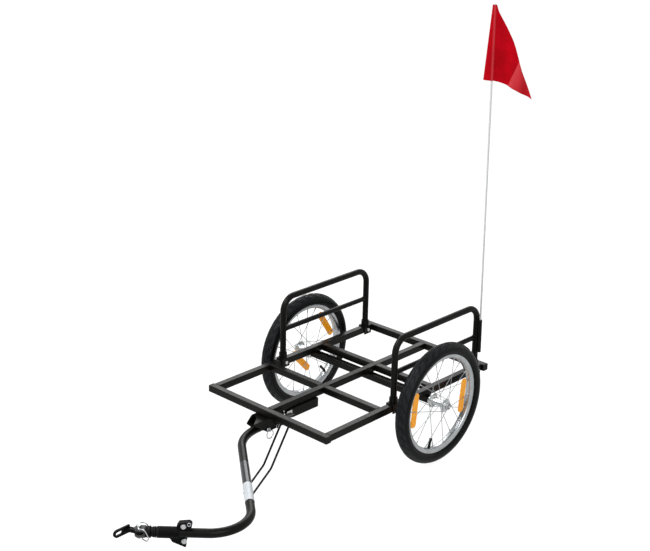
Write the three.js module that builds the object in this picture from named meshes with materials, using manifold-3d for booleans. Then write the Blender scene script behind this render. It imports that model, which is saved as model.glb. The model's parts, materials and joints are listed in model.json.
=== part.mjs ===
// Cargo bike trailer: flat tube bed on two spoked wheels, two side hoops,
// bent tow bar with a flexible coupler, folding wire stand and a safety flag.
// Millimetres, +X forwards to the tow bar, +Y to the left, +Z up.
// Inside this file x is measured from the wheel axle, y from the bed's middle
// and z from the ground; the last lines move the origin to the middle of the footprint.
import * as THREE from "three";
import Module from "manifold-3d";
import { mergeVertices } from "three/addons/utils/BufferGeometryUtils.js";

// Clearances and cutting allowances
const SEAT_GAP = 0.3;
const CUT_OVERRUN = 2;
const WELD_DEPTH = 1;

// Square bed tube
const TUBE = 22;
const TUBE_WALL = 1.5;
const TUBE_CORNER = 2.5;

// Bed layout
const BED_FRONT = 463;
const BED_REAR = -286;
const WHEEL_TO_RAIL = 52;
const REAR_CROSS_OVERHANG = 7;
const SECOND_CROSS_X = 211;
const THIRD_CROSS_X = -27;
const CAP_FLANGE = 2.5;
const CAP_INSERT_DEPTH = 10;

// Wheels
const TYRE_WIDTH = 44;
const TYRE_WALL = 3.5;
const BEAD_WIDTH = 4.5;
const TRACK = 572;
const RIM_WIDTH = 27;
const RIM_FLANGE_THICKNESS = 1.5;
const RIM_SEAT_RADIUS = 152.5;
const RIM_FLANGE_HEIGHT = 6.5;
const RIM_WELL_DEPTH = 3;
const RIM_DEPTH = 8.1;
const TYRE_HEIGHT = 41.5;
const RIM_INNER_WIDTH = 16;
const WHEEL_SIDES = 36;
const tyreCrownHalfAngle = THREE.MathUtils.degToRad(116);
const tyreCavityHalfAngle = THREE.MathUtils.degToRad(100);

// Hub and laced spokes
const HUB_BARREL_RADIUS = 11;
const HUB_BOSS_RADIUS = 12;
const HUB_FLANGE_RADIUS = 22;
const HUB_FLANGE_THICKNESS = 3.2;
const HUB_FLANGE_SPACING = 48;
const HUB_OUTER_REACH = 33;
const HUB_INNER_REACH = 35.7;
const HUB_SIDES = 16;
const SPOKES_PER_FLANGE = 10;
const SPOKE_RADIUS = 1;
const SPOKE_CIRCLE_RADIUS = 18.5;
const SPOKE_CROSSINGS = 2;
const SPOKE_RIM_OFFSET = 2.5;
const tiltShare = 0.3;

// Valves and reflectors
const VALVE_RADIUS = 3.2;
const VALVE_REACH = 30.4;
const VALVE_COLLAR_RADIUS = 5;
const VALVE_COLLAR_HEIGHT = 3;
const REFLECTOR_LENGTH = 111;
const REFLECTOR_WIDTH = 23;
const REFLECTOR_THICKNESS = 5.4;
const REFLECTOR_BEVEL = 2;
const REFLECTOR_INSET = 27.4;
const REFLECTOR_SHIFT = 0.1;
const HUB_REFLECTOR_RADIUS = 42;
const HUB_REFLECTOR_SHIFT = -10;
const LEFT_VALVE_ANGLE = -74;
const RIGHT_VALVE_ANGLE = -132;

// Axle tube, quick-release axles and their push buttons
const AXLE_TUBE_WALL = 2;
const AXLE_SOCKET_DEPTH = 45;
const AXLE_RADIUS = 6;
const AXLE_GRIP = 40;
const AXLE_HEAD_RADIUS = 11;
const AXLE_HEAD_THICKNESS = 6;
const BUTTON_RADIUS = 4;
const BUTTON_TRAVEL = 2;
const BUTTON_WELL_DEPTH = 5.5;
const BUTTON_LENGTH = 5.7;

// Side hoops and their feet
const HOOP_RADIUS = 10;
const HOOP_WALL = 1.5;
const HOOP_FRONT_X = 155.5;
const HOOP_REAR_X = -240;
const HOOP_TOP = 205;
const HOOP_BEND = 46;
const HOOP_BAR_RADIUS = 8;
const HOOP_BAR_HEIGHT = 100;
const FOOT_LENGTH = 32;
const FOOT_PLATE = 3;
const FOOT_CHEEK_DEPTH = 26;
const FOOT_COLLAR_RADIUS = 13;
const FOOT_COLLAR_HEIGHT = 17;
const GUSSET_HEIGHT = 14;
const GUSSET_THICKNESS = 4;
const FOOT_BOLT_RADIUS = 3;

// Safety flag and its sleeve
const FLAG_POLE_RADIUS = 3;
const FLAG_POLE_TOP = 1380;
const FLAG_LEAN = THREE.MathUtils.degToRad(1.35);
const SLEEVE_RADIUS = 6;
const SLEEVE_BOTTOM = 280;
const SLEEVE_TOP = 390;
const SLEEVE_FLOOR = 3;
const FLAG_TOP_SETBACK = 4;
const FLAG_HEIGHT = 222;
const FLAG_REACH = 124;
const FLAG_DROOP = 44;
const FLAG_CLOTH = 1;
const FLAG_POCKET_TOP = 7;
const FLAG_POCKET_BOTTOM = 26;
const FLAG_FOLD_DEPTH = 7;
const FLAG_SEAM = 1.5;
const flagHeading = THREE.MathUtils.degToRad(110.4);
const flagWidthShares = [1, 0.9, 0.81, 0.727, 0.658, 0.597, 0.533, 0.455, 0.35, 0.247, 0.147, 0.05, 0];
const pocketAlongShares = [0, 0.5, 0.86, 1, 0.86, 0.5, 0];
const pocketAcrossShares = [1, 0.92, 0.6, 0, -0.6, -0.92, -1];

// Receiver bracket, pivot bolt and hitch pin
const RECEIVER_CENTRE_Y = -14;
const RECEIVER_WIDTH = 54;
const RECEIVER_PLATE = 3;
const RECEIVER_REAR = 395;
const RECEIVER_NOSE = 500;
const RECEIVER_CHAMFER = 21;
const RECEIVER_LIP = 8;
const PIVOT_X = 426;
const PIVOT_RADIUS = 4;
const HITCH_PIN_X = 463;
const HITCH_PIN_RADIUS = 4;
const HITCH_PIN_END = 5;
const HITCH_HEAD_RADIUS = 7;
const HITCH_HEAD_THICKNESS = 4;
const HITCH_TAB_LENGTH = 9;
const HITCH_TAB_HEIGHT = 10;
const HITCH_TAB_THICKNESS = 5;
const RING_RADIUS = 13;
const RING_WIRE_RADIUS = 1.2;
const RING_HOLE_RADIUS = 2.2;

// Rear channel under the centre rail
const CHANNEL_REAR = 253;
const CHANNEL_FRONT = 365;
const CHANNEL_WIDTH = 34;
const CHANNEL_HEIGHT = 29;
const CHANNEL_WALL = 2;

// Folding wire stand and its bracket
const STAND_WIRE_RADIUS = 3.25;
const STAND_CENTRE_Y = 39;
const STAND_WIDTH = 31;
const STAND_PIVOT_X = 408.6;
const STAND_SLEEVE_SINK = 0.5;
const STAND_BEND_X = 491;
const STAND_BEND_DROP = 127.5;
const STAND_FOOT_X = 575;
const STAND_BEND_RADIUS = 30;
const STAND_CORNER_RADIUS = 10;
const STAND_HOOK_RADIUS = 6;
const STAND_PLATE_THICKNESS = 4;
const STAND_PLATE_WIDTH = 20;
const STAND_PLATE_REAR = 385;
const STAND_SLEEVE_RADIUS = 8;
const STAND_HOOK_SPACE = 1;

// Tow bar
const TOW_RADIUS = 12.5;
const TOW_WALL = 1.5;
const TOW_DROP = 35;
const TOW_ROOT_X = 405;
const TOW_FIRST_CORNER_X = 549.4;
const TOW_SECOND_CORNER_X = 897;
const TOW_SECOND_CORNER_Y = 409;
const TOW_FIRST_BEND = 150;
const TOW_SECOND_BEND = 103;
const TOW_GRIP_X = 998;
const TOW_GRIP_Y = 297;
const TOW_TAIL = 62;
const TOW_SLEEVE_RADIUS = 7.5;
const BAND_START = 296;
const BAND_LENGTH = 93;
const BAND_THICKNESS = 0.4;

// Coupler, measured along its own axis from the grip point
const CLAMP_START = 40;
const CLAMP_LENGTH = 50;
const CLAMP_RADIUS = 15.5;
const CLAMP_LUG_THICKNESS = 16;
const CLAMP_LUG_ROOT = 9;
const CLAMP_LUG_TOP = 34;
const CLAMP_LUG_BACK = 7;
const CLAMP_LUG_FRONT = 46;
const CLAMP_LUG_CHAMFER = 6;
const CLAMP_EYE_X = 14;
const CLAMP_EYE_Z = 28;
const CLAMP_WING_BACK = 23;
const CLAMP_WING_FRONT = 67;
const CLAMP_WING_DEPTH = 38;
const CLAMP_WING_SHOULDER = 57.5;
const CLAMP_WING_STEP = 24;
const CLAMP_BOLT_RADIUS = 3;
const CLAMP_UPPER_BOLT_X = 28.5;
const CLAMP_UPPER_BOLT_Z = 21.5;
const CLAMP_LOWER_BOLT_X = 27.5;
const CLAMP_LOWER_BOLT_Z = -21;
const FLEX_RADIUS = 13.2;
const FLEX_DOME_RADIUS = 13.6;
const FLEX_PIVOT = 106;
const YOKE_CUP_RADIUS = 15;
const YOKE_CUP_START = 113;
const YOKE_CUP_LENGTH = 13.5;
const YOKE_WIDTH = 24;
const YOKE_HEIGHT = 24;
const YOKE_PIN_X = 143;
const YOKE_SLOT = 10;
const YOKE_SLOT_START = 130;
const YOKE_PIN_RADIUS = 4;
const YOKE_PIN_HEAD_RADIUS = 6;
const YOKE_PIN_HEAD_HEIGHT = 8;
const YOKE_PIN_TAIL = 5;
const BAIL_WIRE_RADIUS = 1.3;
const BAIL_SIDE_GAP = 0.7;
const BAIL_GRIP = 3;
const BAIL_REAR = 115.5;
const BAIL_SHOULDER = 127;
const BAIL_SHOULDER_DROP = 0.5;
const BAIL_DEPTH = 19;
const BAIL_FOOT_X = 121;
const BAIL_TOE_X = 135;
const BAIL_TOE_HALF = 5;
const BAIL_KNEE_Z = -9;
const BAIL_BEND = 4;
const PLATE_START = 7;
const PLATE_LENGTH = 51;
const PLATE_OFFSET = 30.5;
const PLATE_HEIGHT = 21;
const PLATE_THICKNESS = 6;
const PLATE_NECK_WIDTH = 13;
const PLATE_EYE_RADIUS = 11;
const PLATE_SLOT_RADIUS = 5.2;
const PLATE_SLOT_LENGTH = 12;

// Hexagon proportions: across-corners radius, head and nut height over the shank radius
const hexRadiusShare = 1.95;
const hexHeadShare = 1.35;
const hexNutShare = 1.6;

// Sides of the round sections
const PIPE_SIDES = 12;
const BORE_SIDES = 16;
const WIRE_SIDES = 8;
const FINE_WIRE_SIDES = 6;

// Places that follow from the sizes above
const TYRE_RADIUS = RIM_SEAT_RADIUS + TYRE_HEIGHT;
const RIM_RADIUS = RIM_SEAT_RADIUS + RIM_FLANGE_HEIGHT;
const RIM_WELL_RADIUS = RIM_SEAT_RADIUS - RIM_WELL_DEPTH;
const RIM_INNER_RADIUS = RIM_SEAT_RADIUS - RIM_DEPTH;
const REFLECTOR_RADIUS = RIM_INNER_RADIUS - REFLECTOR_INSET;
const LEFT_REFLECTORS = [[6.2, REFLECTOR_RADIUS, REFLECTOR_SHIFT], [186.6, REFLECTOR_RADIUS, REFLECTOR_SHIFT]];
const RIGHT_REFLECTORS = [[146, REFLECTOR_RADIUS, REFLECTOR_SHIFT], [-43.5, HUB_REFLECTOR_RADIUS, HUB_REFLECTOR_SHIFT]];
const VALVE_TIP_RADIUS = RIM_INNER_RADIUS - VALVE_REACH;
const AXLE_HEIGHT = TYRE_RADIUS;
const BED_BOTTOM = AXLE_HEIGHT + TUBE / 2 + SEAT_GAP;
const BED_MIDDLE = BED_BOTTOM + TUBE / 2;
const BED_TOP = BED_BOTTOM + TUBE;
const FRONT_CROSS_X = BED_FRONT - TUBE / 2;
const REAR_CROSS_X = BED_REAR + TUBE / 2;
const RAIL_START = REAR_CROSS_X + TUBE / 2 + SEAT_GAP;
const RAIL_END = FRONT_CROSS_X - TUBE / 2 - SEAT_GAP;
const RAIL_SPACING = TRACK - 2 * WHEEL_TO_RAIL;
const RAIL_Y = RAIL_SPACING / 2;
const FRONT_CROSS_LENGTH = RAIL_SPACING + TUBE;
const REAR_CROSS_LENGTH = FRONT_CROSS_LENGTH + 2 * REAR_CROSS_OVERHANG;
const AXLE_TUBE_HALF = TRACK / 2 - HUB_INNER_REACH - SEAT_GAP;
const FLAG_TOP = FLAG_POLE_TOP - FLAG_TOP_SETBACK;
const RECEIVER_TOP = BED_BOTTOM - SEAT_GAP;
const STAND_PIVOT_Z = RECEIVER_TOP - STAND_PLATE_THICKNESS - STAND_SLEEVE_RADIUS + STAND_SLEEVE_SINK;
const STAND_BEND_Z = STAND_PIVOT_Z - STAND_BEND_DROP;
const TOW_HEIGHT = RECEIVER_TOP - TOW_DROP;
const RECEIVER_BOTTOM = TOW_HEIGHT - RECEIVER_LIP;
const RECEIVER_LEFT = RECEIVER_CENTRE_Y + RECEIVER_WIDTH / 2;
const BAIL_OFFSET = YOKE_CUP_RADIUS + BAIL_WIRE_RADIUS + BAIL_SIDE_GAP;
const COUPLER_ANGLE = Math.atan2(TOW_GRIP_Y - TOW_SECOND_CORNER_Y, TOW_GRIP_X - TOW_SECOND_CORNER_X);

// Materials
const powderBlack = { color: 0x222224, roughness: 0.48, metalness: 0.35 };
const blackPlastic = { color: 0x161617, roughness: 0.6, metalness: 0 };
const tyreRubber = { color: 0x1e1f21, roughness: 0.85, metalness: 0 };
const rimAlloy = { color: 0xb9bdc0, roughness: 0.3, metalness: 0.9 };
const spokeSteel = { color: 0xc4c8ca, roughness: 0.25, metalness: 0.95 };
const chromeSteel = { color: 0xd6d9db, roughness: 0.12, metalness: 1 };
const zincSteel = { color: 0xc9ccc8, roughness: 0.35, metalness: 0.85 };
const castGrey = { color: 0x4a4b49, roughness: 0.5, metalness: 0.6 };
const amberPlastic = { color: 0xf08a10, roughness: 0.2, metalness: 0 };
const redCloth = { color: 0xc4061c, roughness: 0.75, metalness: 0 };
const paleFibreglass = { color: 0xd7d9d8, roughness: 0.4, metalness: 0 };
const whiteVinyl = { color: 0xf2f2f0, roughness: 0.35, metalness: 0 };

const wasm = await Module();
wasm.setup();

// Boolean joins and cuts on closed geometries
function toSolid(geometry) {
  const bare = geometry.clone();
  bare.deleteAttribute("normal");
  bare.deleteAttribute("uv");
  const merged = mergeVertices(bare, 1e-5);
  const vertProperties = new Float32Array(merged.attributes.position.array);
  const triVerts = new Uint32Array(merged.index.array);
  return new wasm.Manifold(new wasm.Mesh({ numProp: 3, vertProperties, triVerts }));
}

function toGeometry(solid) {
  const mesh = solid.getMesh();
  const geometry = new THREE.BufferGeometry();
  geometry.setAttribute("position", new THREE.BufferAttribute(mesh.vertProperties, 3));
  geometry.setIndex(new THREE.BufferAttribute(mesh.triVerts, 1));
  geometry.computeVertexNormals();
  return geometry;
}

function join(...geometries) {
  return toGeometry(geometries.map(toSolid).reduce((whole, next) => whole.add(next)));
}

function cut(geometry, ...cutters) {
  return toGeometry(cutters.map(toSolid).reduce((whole, next) => whole.subtract(next), toSolid(geometry)));
}

// Radius of a many-sided bore whose flats stay a gap away from a round shank
function boreRadius(shank, gap = SEAT_GAP, sides = BORE_SIDES) {
  return (shank + gap) / Math.cos(Math.PI / sides);
}

// Block between two corners
function block(x0, x1, y0, y1, z0, z1) {
  const geometry = new THREE.BoxGeometry(x1 - x0, y1 - y0, z1 - z0);
  return geometry.translate((x0 + x1) / 2, (y0 + y1) / 2, (z0 + z1) / 2);
}

// Round bar between two points
function rod(from, to, radius, sides = PIPE_SIDES) {
  const along = new THREE.Vector3().subVectors(to, from);
  const geometry = new THREE.CylinderGeometry(radius, radius, along.length(), sides);
  const turn = new THREE.Quaternion().setFromUnitVectors(THREE.Object3D.DEFAULT_UP, along.clone().normalize());
  geometry.applyQuaternion(turn);
  return geometry.translate((from.x + to.x) / 2, (from.y + to.y) / 2, (from.z + to.z) / 2);
}

function rodX(x0, x1, y, z, radius, sides) {
  return rod(new THREE.Vector3(x0, y, z), new THREE.Vector3(x1, y, z), radius, sides);
}

function rodY(x, y0, y1, z, radius, sides) {
  return rod(new THREE.Vector3(x, y0, z), new THREE.Vector3(x, y1, z), radius, sides);
}

function rodZ(x, y, z0, z1, radius, sides) {
  return rod(new THREE.Vector3(x, y, z0), new THREE.Vector3(x, y, z1), radius, sides);
}

// Closed profile of (radius, height) points turned about Y
function turned(points, sides) {
  const profile = points.map(([radius, height]) => new THREE.Vector2(radius, height));
  if (profile[0].x > 0) profile.push(profile[0].clone());
  return new THREE.LatheGeometry(profile, sides);
}

// Outline of (x, z) points given a thickness from y0 to y1
function plateXZ(points, y0, y1) {
  const shape = new THREE.Shape(points.map(([x, z]) => new THREE.Vector2(x, z)));
  const geometry = new THREE.ExtrudeGeometry(shape, { depth: y1 - y0, bevelEnabled: false });
  return geometry.rotateX(Math.PI / 2).translate(0, y1, 0);
}

// Square tube with rounded edges, lying along X and centred on the origin
function squareTube(length, size, wall, corner) {
  const half = size / 2;
  const flat = half - corner;
  const shape = new THREE.Shape();
  shape.absarc(flat, flat, corner, 0, Math.PI / 2);
  shape.absarc(-flat, flat, corner, Math.PI / 2, Math.PI);
  shape.absarc(-flat, -flat, corner, Math.PI, 1.5 * Math.PI);
  shape.absarc(flat, -flat, corner, 1.5 * Math.PI, 2 * Math.PI);
  const inner = half - wall;
  const opening = new THREE.Path();
  opening.moveTo(-inner, -inner).lineTo(-inner, inner).lineTo(inner, inner).lineTo(inner, -inner);
  opening.closePath();
  shape.holes.push(opening);
  const geometry = new THREE.ExtrudeGeometry(shape, { depth: length, bevelEnabled: false, curveSegments: 2 });
  return geometry.translate(0, 0, -length / 2).rotateY(Math.PI / 2);
}

// Path through corner points with a round bend at each inner corner;
// stations stand only at the ends of the straights and along the bends
class BentPath extends THREE.Curve {
  constructor(corners, bends, steps) {
    super();
    this.stations = [corners[0].clone()];
    this.tangents = [new THREE.Vector3().subVectors(corners[1], corners[0]).normalize()];
    for (let i = 1; i < corners.length - 1; i++) this.addBend(corners, i, bends[i - 1], steps);
    const last = corners.length - 1;
    this.stations.push(corners[last].clone());
    this.tangents.push(new THREE.Vector3().subVectors(corners[last], corners[last - 1]).normalize());
  }

  addBend(corners, i, radius, steps) {
    const before = new THREE.Vector3().subVectors(corners[i], corners[i - 1]).normalize();
    const after = new THREE.Vector3().subVectors(corners[i + 1], corners[i]).normalize();
    const angle = before.angleTo(after);
    const setback = radius * Math.tan(angle / 2);
    const axis = new THREE.Vector3().crossVectors(before, after).normalize();
    const inward = new THREE.Vector3().crossVectors(axis, before);
    const start = corners[i].clone().addScaledVector(before, -setback);
    const centre = start.clone().addScaledVector(inward, radius);
    const count = Math.max(2, Math.ceil(steps * angle / (Math.PI / 2)));
    for (let k = 0; k <= count; k++) {
      const turn = angle * k / count;
      const spoke = inward.clone().negate().applyAxisAngle(axis, turn);
      this.stations.push(centre.clone().addScaledVector(spoke, radius));
      this.tangents.push(before.clone().applyAxisAngle(axis, turn));
    }
  }

  getPoint(t, target = new THREE.Vector3()) {
    return target.copy(this.stations[Math.round(t * (this.stations.length - 1))]);
  }

  getSpacedPoints() {
    return this.stations.map((station) => station.clone());
  }

  getTangentAt(u) {
    return this.tangents[Math.round(u * (this.tangents.length - 1))].clone();
  }
}

// Round pipe or wire swept along a bent path
function bentPipe(corners, bends, radius, wall, steps, sides = PIPE_SIDES) {
  const path = new BentPath(corners, bends, steps);
  const shape = new THREE.Shape(circlePoints(radius, sides));
  if (wall > 0) shape.holes.push(new THREE.Path(circlePoints(radius - wall, WIRE_SIDES).reverse()));
  const options = { steps: path.stations.length - 1, extrudePath: path, bevelEnabled: false };
  return new THREE.ExtrudeGeometry(shape, options);
}

function circlePoints(radius, sides) {
  const points = [];
  for (let k = 0; k < sides; k++) {
    const angle = 2 * Math.PI * k / sides;
    points.push(new THREE.Vector2(radius * Math.cos(angle), radius * Math.sin(angle)));
  }
  return points;
}

// Hexagon bolt with its nut, along Y, head at the low end of the grip
function hexBolt(radius, y0, y1) {
  const hex = radius * hexRadiusShare;
  const headEnd = y0 - SEAT_GAP;
  const nutStart = y1 + SEAT_GAP;
  const nutEnd = nutStart + radius * hexNutShare;
  const head = rodY(0, headEnd - radius * hexHeadShare, headEnd, 0, hex, 6);
  const shank = rodY(0, headEnd - WELD_DEPTH, nutEnd + WELD_DEPTH, 0, radius, WIRE_SIDES);
  const nut = rodY(0, nutStart, nutEnd, 0, hex, 6);
  return join(head, shank, nut);
}

const trailer = new THREE.Group();

function addPiece(parent, name, geometry, finish, x = 0, y = 0, z = 0) {
  const mesh = new THREE.Mesh(geometry, new THREE.MeshStandardMaterial(finish));
  mesh.name = name;
  mesh.position.set(x, y, z);
  parent.add(mesh);
  return mesh;
}

// Bed: two long cross tubes, three rails, two short cross tubes in halves
function crossTube(length) {
  return squareTube(length, TUBE, TUBE_WALL, TUBE_CORNER).rotateZ(Math.PI / 2);
}

function sideRail() {
  const length = RAIL_END - RAIL_START;
  const middle = (RAIL_END + RAIL_START) / 2;
  const hole = boreRadius(FOOT_BOLT_RADIUS, SEAT_GAP, WIRE_SIDES);
  const drill = (x) => rodY(x - middle, -TUBE / 2 - CUT_OVERRUN, TUBE / 2 + CUT_OVERRUN, 0, hole, WIRE_SIDES);
  return cut(squareTube(length, TUBE, TUBE_WALL, TUBE_CORNER), drill(HOOP_FRONT_X), drill(HOOP_REAR_X));
}

function endCap() {
  const insert = TUBE / 2 - TUBE_WALL - SEAT_GAP;
  const flange = squareTubePlug(CAP_FLANGE).translate(0, CAP_FLANGE / 2, 0);
  const plug = block(-insert, insert, -CAP_INSERT_DEPTH, WELD_DEPTH, -insert, insert);
  return join(flange, plug);
}

function squareTubePlug(depth) {
  const half = TUBE / 2;
  const flat = half - TUBE_CORNER;
  const shape = new THREE.Shape();
  shape.absarc(flat, flat, TUBE_CORNER, 0, Math.PI / 2);
  shape.absarc(-flat, flat, TUBE_CORNER, Math.PI / 2, Math.PI);
  shape.absarc(-flat, -flat, TUBE_CORNER, Math.PI, 1.5 * Math.PI);
  shape.absarc(flat, -flat, TUBE_CORNER, 1.5 * Math.PI, 2 * Math.PI);
  const geometry = new THREE.ExtrudeGeometry(shape, { depth, bevelEnabled: false, curveSegments: 2 });
  return geometry.translate(0, 0, -depth / 2).rotateX(-Math.PI / 2);
}

function addBed() {
  const railMiddle = (RAIL_END + RAIL_START) / 2;
  const halfStart = TUBE / 2 + SEAT_GAP;
  const halfEnd = RAIL_Y - TUBE / 2 - SEAT_GAP;
  const halfMiddle = (halfStart + halfEnd) / 2;
  addPiece(trailer, "front_cross", crossTube(FRONT_CROSS_LENGTH), powderBlack, FRONT_CROSS_X, 0, BED_MIDDLE);
  addPiece(trailer, "rear_cross", crossTube(REAR_CROSS_LENGTH), powderBlack, REAR_CROSS_X, 0, BED_MIDDLE);
  const centreRail = squareTube(RAIL_END - RAIL_START, TUBE, TUBE_WALL, TUBE_CORNER);
  addPiece(trailer, "centre_rail", centreRail, powderBlack, railMiddle, 0, BED_MIDDLE);
  for (const [side, sign] of [["left", 1], ["right", -1]]) {
    addPiece(trailer, `rail_${side}`, sideRail(), powderBlack, railMiddle, sign * RAIL_Y, BED_MIDDLE);
    for (const [order, x] of [["second", SECOND_CROSS_X], ["third", THIRD_CROSS_X]]) {
      const half = crossTube(halfEnd - halfStart);
      addPiece(trailer, `${order}_cross_${side}`, half, powderBlack, x, sign * halfMiddle, BED_MIDDLE);
    }
    for (const [end, x, length] of [
      ["front", FRONT_CROSS_X, FRONT_CROSS_LENGTH],
      ["rear", REAR_CROSS_X, REAR_CROSS_LENGTH],
    ]) {
      const y = sign * (length / 2 + SEAT_GAP);
      const cap = addPiece(trailer, `cap_${end}_${side}`, endCap(), blackPlastic, x, y, BED_MIDDLE);
      cap.rotation.z = sign > 0 ? 0 : Math.PI;
    }
  }
}

// Axle tube: hollow between two bored end sockets
function axleTube() {
  const half = TUBE / 2;
  const inner = half - AXLE_TUBE_WALL;
  const hollowEnd = AXLE_TUBE_HALF - AXLE_SOCKET_DEPTH;
  const bar = squareTubePlug(2 * AXLE_TUBE_HALF);
  const hollow = block(-inner, inner, -hollowEnd, hollowEnd, -inner, inner);
  const end = AXLE_TUBE_HALF + CUT_OVERRUN;
  const bore = boreRadius(AXLE_RADIUS);
  return cut(bar, hollow, rodY(0, -end, end, 0, bore, BORE_SIDES));
}

// Quick-release axle along +Y from the wheel's middle plane, with its head and button well
function wheelAxle() {
  const inner = AXLE_TUBE_HALF - TRACK / 2 - AXLE_GRIP;
  const headStart = HUB_OUTER_REACH + SEAT_GAP;
  const headEnd = headStart + AXLE_HEAD_THICKNESS;
  const profile = [
    [0, inner],
    [AXLE_RADIUS * 0.8, inner],
    [AXLE_RADIUS, inner + AXLE_RADIUS * 0.3],
    [AXLE_RADIUS, headStart],
    [AXLE_HEAD_RADIUS, headStart],
    [AXLE_HEAD_RADIUS, headEnd - WELD_DEPTH],
    [AXLE_HEAD_RADIUS - WELD_DEPTH, headEnd],
    [boreRadius(BUTTON_RADIUS, SEAT_GAP, PIPE_SIDES), headEnd],
    [boreRadius(BUTTON_RADIUS, SEAT_GAP, PIPE_SIDES), headEnd - BUTTON_WELL_DEPTH],
    [0, headEnd - BUTTON_WELL_DEPTH],
  ];
  return turned(profile, PIPE_SIDES);
}

function axleButton() {
  const well = HUB_OUTER_REACH + SEAT_GAP + AXLE_HEAD_THICKNESS - BUTTON_WELL_DEPTH;
  const start = well + SEAT_GAP + BUTTON_TRAVEL;
  return rodY(0, start, start + BUTTON_LENGTH, 0, BUTTON_RADIUS);
}

// Tyre: C-shaped section open to the rim, beads inside the rim flanges
function tyre() {
  const half = TYRE_WIDTH / 2;
  const crown = TYRE_RADIUS - half;
  const beadOut = RIM_WIDTH / 2 - RIM_FLANGE_THICKNESS - SEAT_GAP;
  const beadIn = beadOut - BEAD_WIDTH;
  const beadFoot = RIM_SEAT_RADIUS + SEAT_GAP;
  const neck = RIM_RADIUS + 2 * SEAT_GAP;
  const points = [[beadFoot, -beadIn], [beadFoot, -beadOut], [neck, -beadOut]];
  for (let k = -3; k <= 3; k++) {
    const angle = tyreCrownHalfAngle * k / 3;
    points.push([crown + half * Math.cos(angle), half * Math.sin(angle)]);
  }
  points.push([neck, beadOut], [beadFoot, beadOut], [beadFoot, beadIn]);
  for (let k = 1; k >= -1; k--) {
    const angle = tyreCavityHalfAngle * k;
    const cavity = half - TYRE_WALL;
    points.push([crown + cavity * Math.cos(angle), cavity * Math.sin(angle)]);
  }
  return turned(points, WHEEL_SIDES);
}

// Rim: hooked flanges, bead seats, drop centre and a valve hole
function rim(valveAngle) {
  const half = RIM_WIDTH / 2;
  const seatEdge = half - RIM_FLANGE_THICKNESS;
  const well = RIM_INNER_WIDTH / 2;
  const shoulder = (RIM_INNER_RADIUS + RIM_WELL_RADIUS) / 2;
  const points = [
    [RIM_INNER_RADIUS, -well],
    [shoulder, -half],
    [RIM_RADIUS, -half],
    [RIM_RADIUS, -seatEdge],
    [RIM_SEAT_RADIUS, -seatEdge],
    [RIM_WELL_RADIUS, -well / 2],
    [RIM_WELL_RADIUS, well / 2],
    [RIM_SEAT_RADIUS, seatEdge],
    [RIM_RADIUS, seatEdge],
    [RIM_RADIUS, half],
    [shoulder, half],
    [RIM_INNER_RADIUS, well],
  ];
  const ring = turned(points, WHEEL_SIDES).rotateY(Math.PI / 2);
  const hole = rodX(VALVE_TIP_RADIUS, RIM_RADIUS, 0, 0, boreRadius(VALVE_RADIUS, SEAT_GAP, WIRE_SIDES), WIRE_SIDES);
  return cut(ring, hole.rotateY(-valveAngle));
}

// Hub shell with two drilled flanges, and the spokes laced tangentially to it
function hubAndSpokes() {
  const bore = boreRadius(AXLE_RADIUS, SEAT_GAP, HUB_SIDES);
  const inner = -HUB_INNER_REACH;
  const flangeIn = (HUB_FLANGE_SPACING - HUB_FLANGE_THICKNESS) / 2;
  const flangeOut = (HUB_FLANGE_SPACING + HUB_FLANGE_THICKNESS) / 2;
  const shell = turned([
    [bore, inner],
    [HUB_BOSS_RADIUS, inner],
    [HUB_BOSS_RADIUS, -flangeOut],
    [HUB_FLANGE_RADIUS, -flangeOut],
    [HUB_FLANGE_RADIUS, -flangeIn],
    [HUB_BARREL_RADIUS, -flangeIn],
    [HUB_BARREL_RADIUS, flangeIn],
    [HUB_FLANGE_RADIUS, flangeIn],
    [HUB_FLANGE_RADIUS, flangeOut],
    [HUB_BOSS_RADIUS, flangeOut],
    [HUB_BOSS_RADIUS, HUB_OUTER_REACH],
    [bore, HUB_OUTER_REACH],
  ], HUB_SIDES);
  const pieces = [shell];
  for (const flange of [1, -1]) {
    for (let k = 0; k < SPOKES_PER_FLANGE; k++) pieces.push(spoke(flange, k));
  }
  return join(...pieces);
}

// Ends of one spoke; even ones lead and lie outside the flange, odd ones trail inside it
function spokeEnds(flange, k) {
  const pitch = 2 * Math.PI / SPOKES_PER_FLANGE;
  const lead = k % 2 === 0 ? 1 : -1;
  const hubAngle = pitch * (k + 0.5 - flange * 0.25);
  const rimAngle = hubAngle + lead * SPOKE_CROSSINGS * pitch;
  const apothem = RIM_INNER_RADIUS * Math.cos(Math.PI / WHEEL_SIDES);
  const tipRadius = apothem - SEAT_GAP - SPOKE_RADIUS * tiltShare;
  const hubY = flange * (HUB_FLANGE_SPACING / 2 + lead * (HUB_FLANGE_THICKNESS / 2 + SPOKE_RADIUS / 2));
  const head = wheelPoint(SPOKE_CIRCLE_RADIUS, hubAngle, hubY);
  const tip = wheelPoint(tipRadius, rimAngle, flange * SPOKE_RIM_OFFSET);
  return [head, tip];
}

function spoke(flange, k) {
  const [head, tip] = spokeEnds(flange, k);
  return rod(head, tip, SPOKE_RADIUS, 5);
}

function wheelPoint(radius, angle, y) {
  return new THREE.Vector3(radius * Math.cos(angle), y, radius * Math.sin(angle));
}

// Valve stem through the rim with its collar nut
function valve() {
  const rimInside = RIM_INNER_RADIUS * Math.cos(Math.PI / WHEEL_SIDES) - SEAT_GAP - VALVE_RADIUS * tiltShare;
  const stem = rodX(VALVE_TIP_RADIUS, RIM_SEAT_RADIUS, 0, 0, VALVE_RADIUS, WIRE_SIDES);
  const collar = rodX(rimInside - VALVE_COLLAR_HEIGHT, rimInside, 0, 0, VALVE_COLLAR_RADIUS, WIRE_SIDES);
  return join(stem, collar);
}

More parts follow.
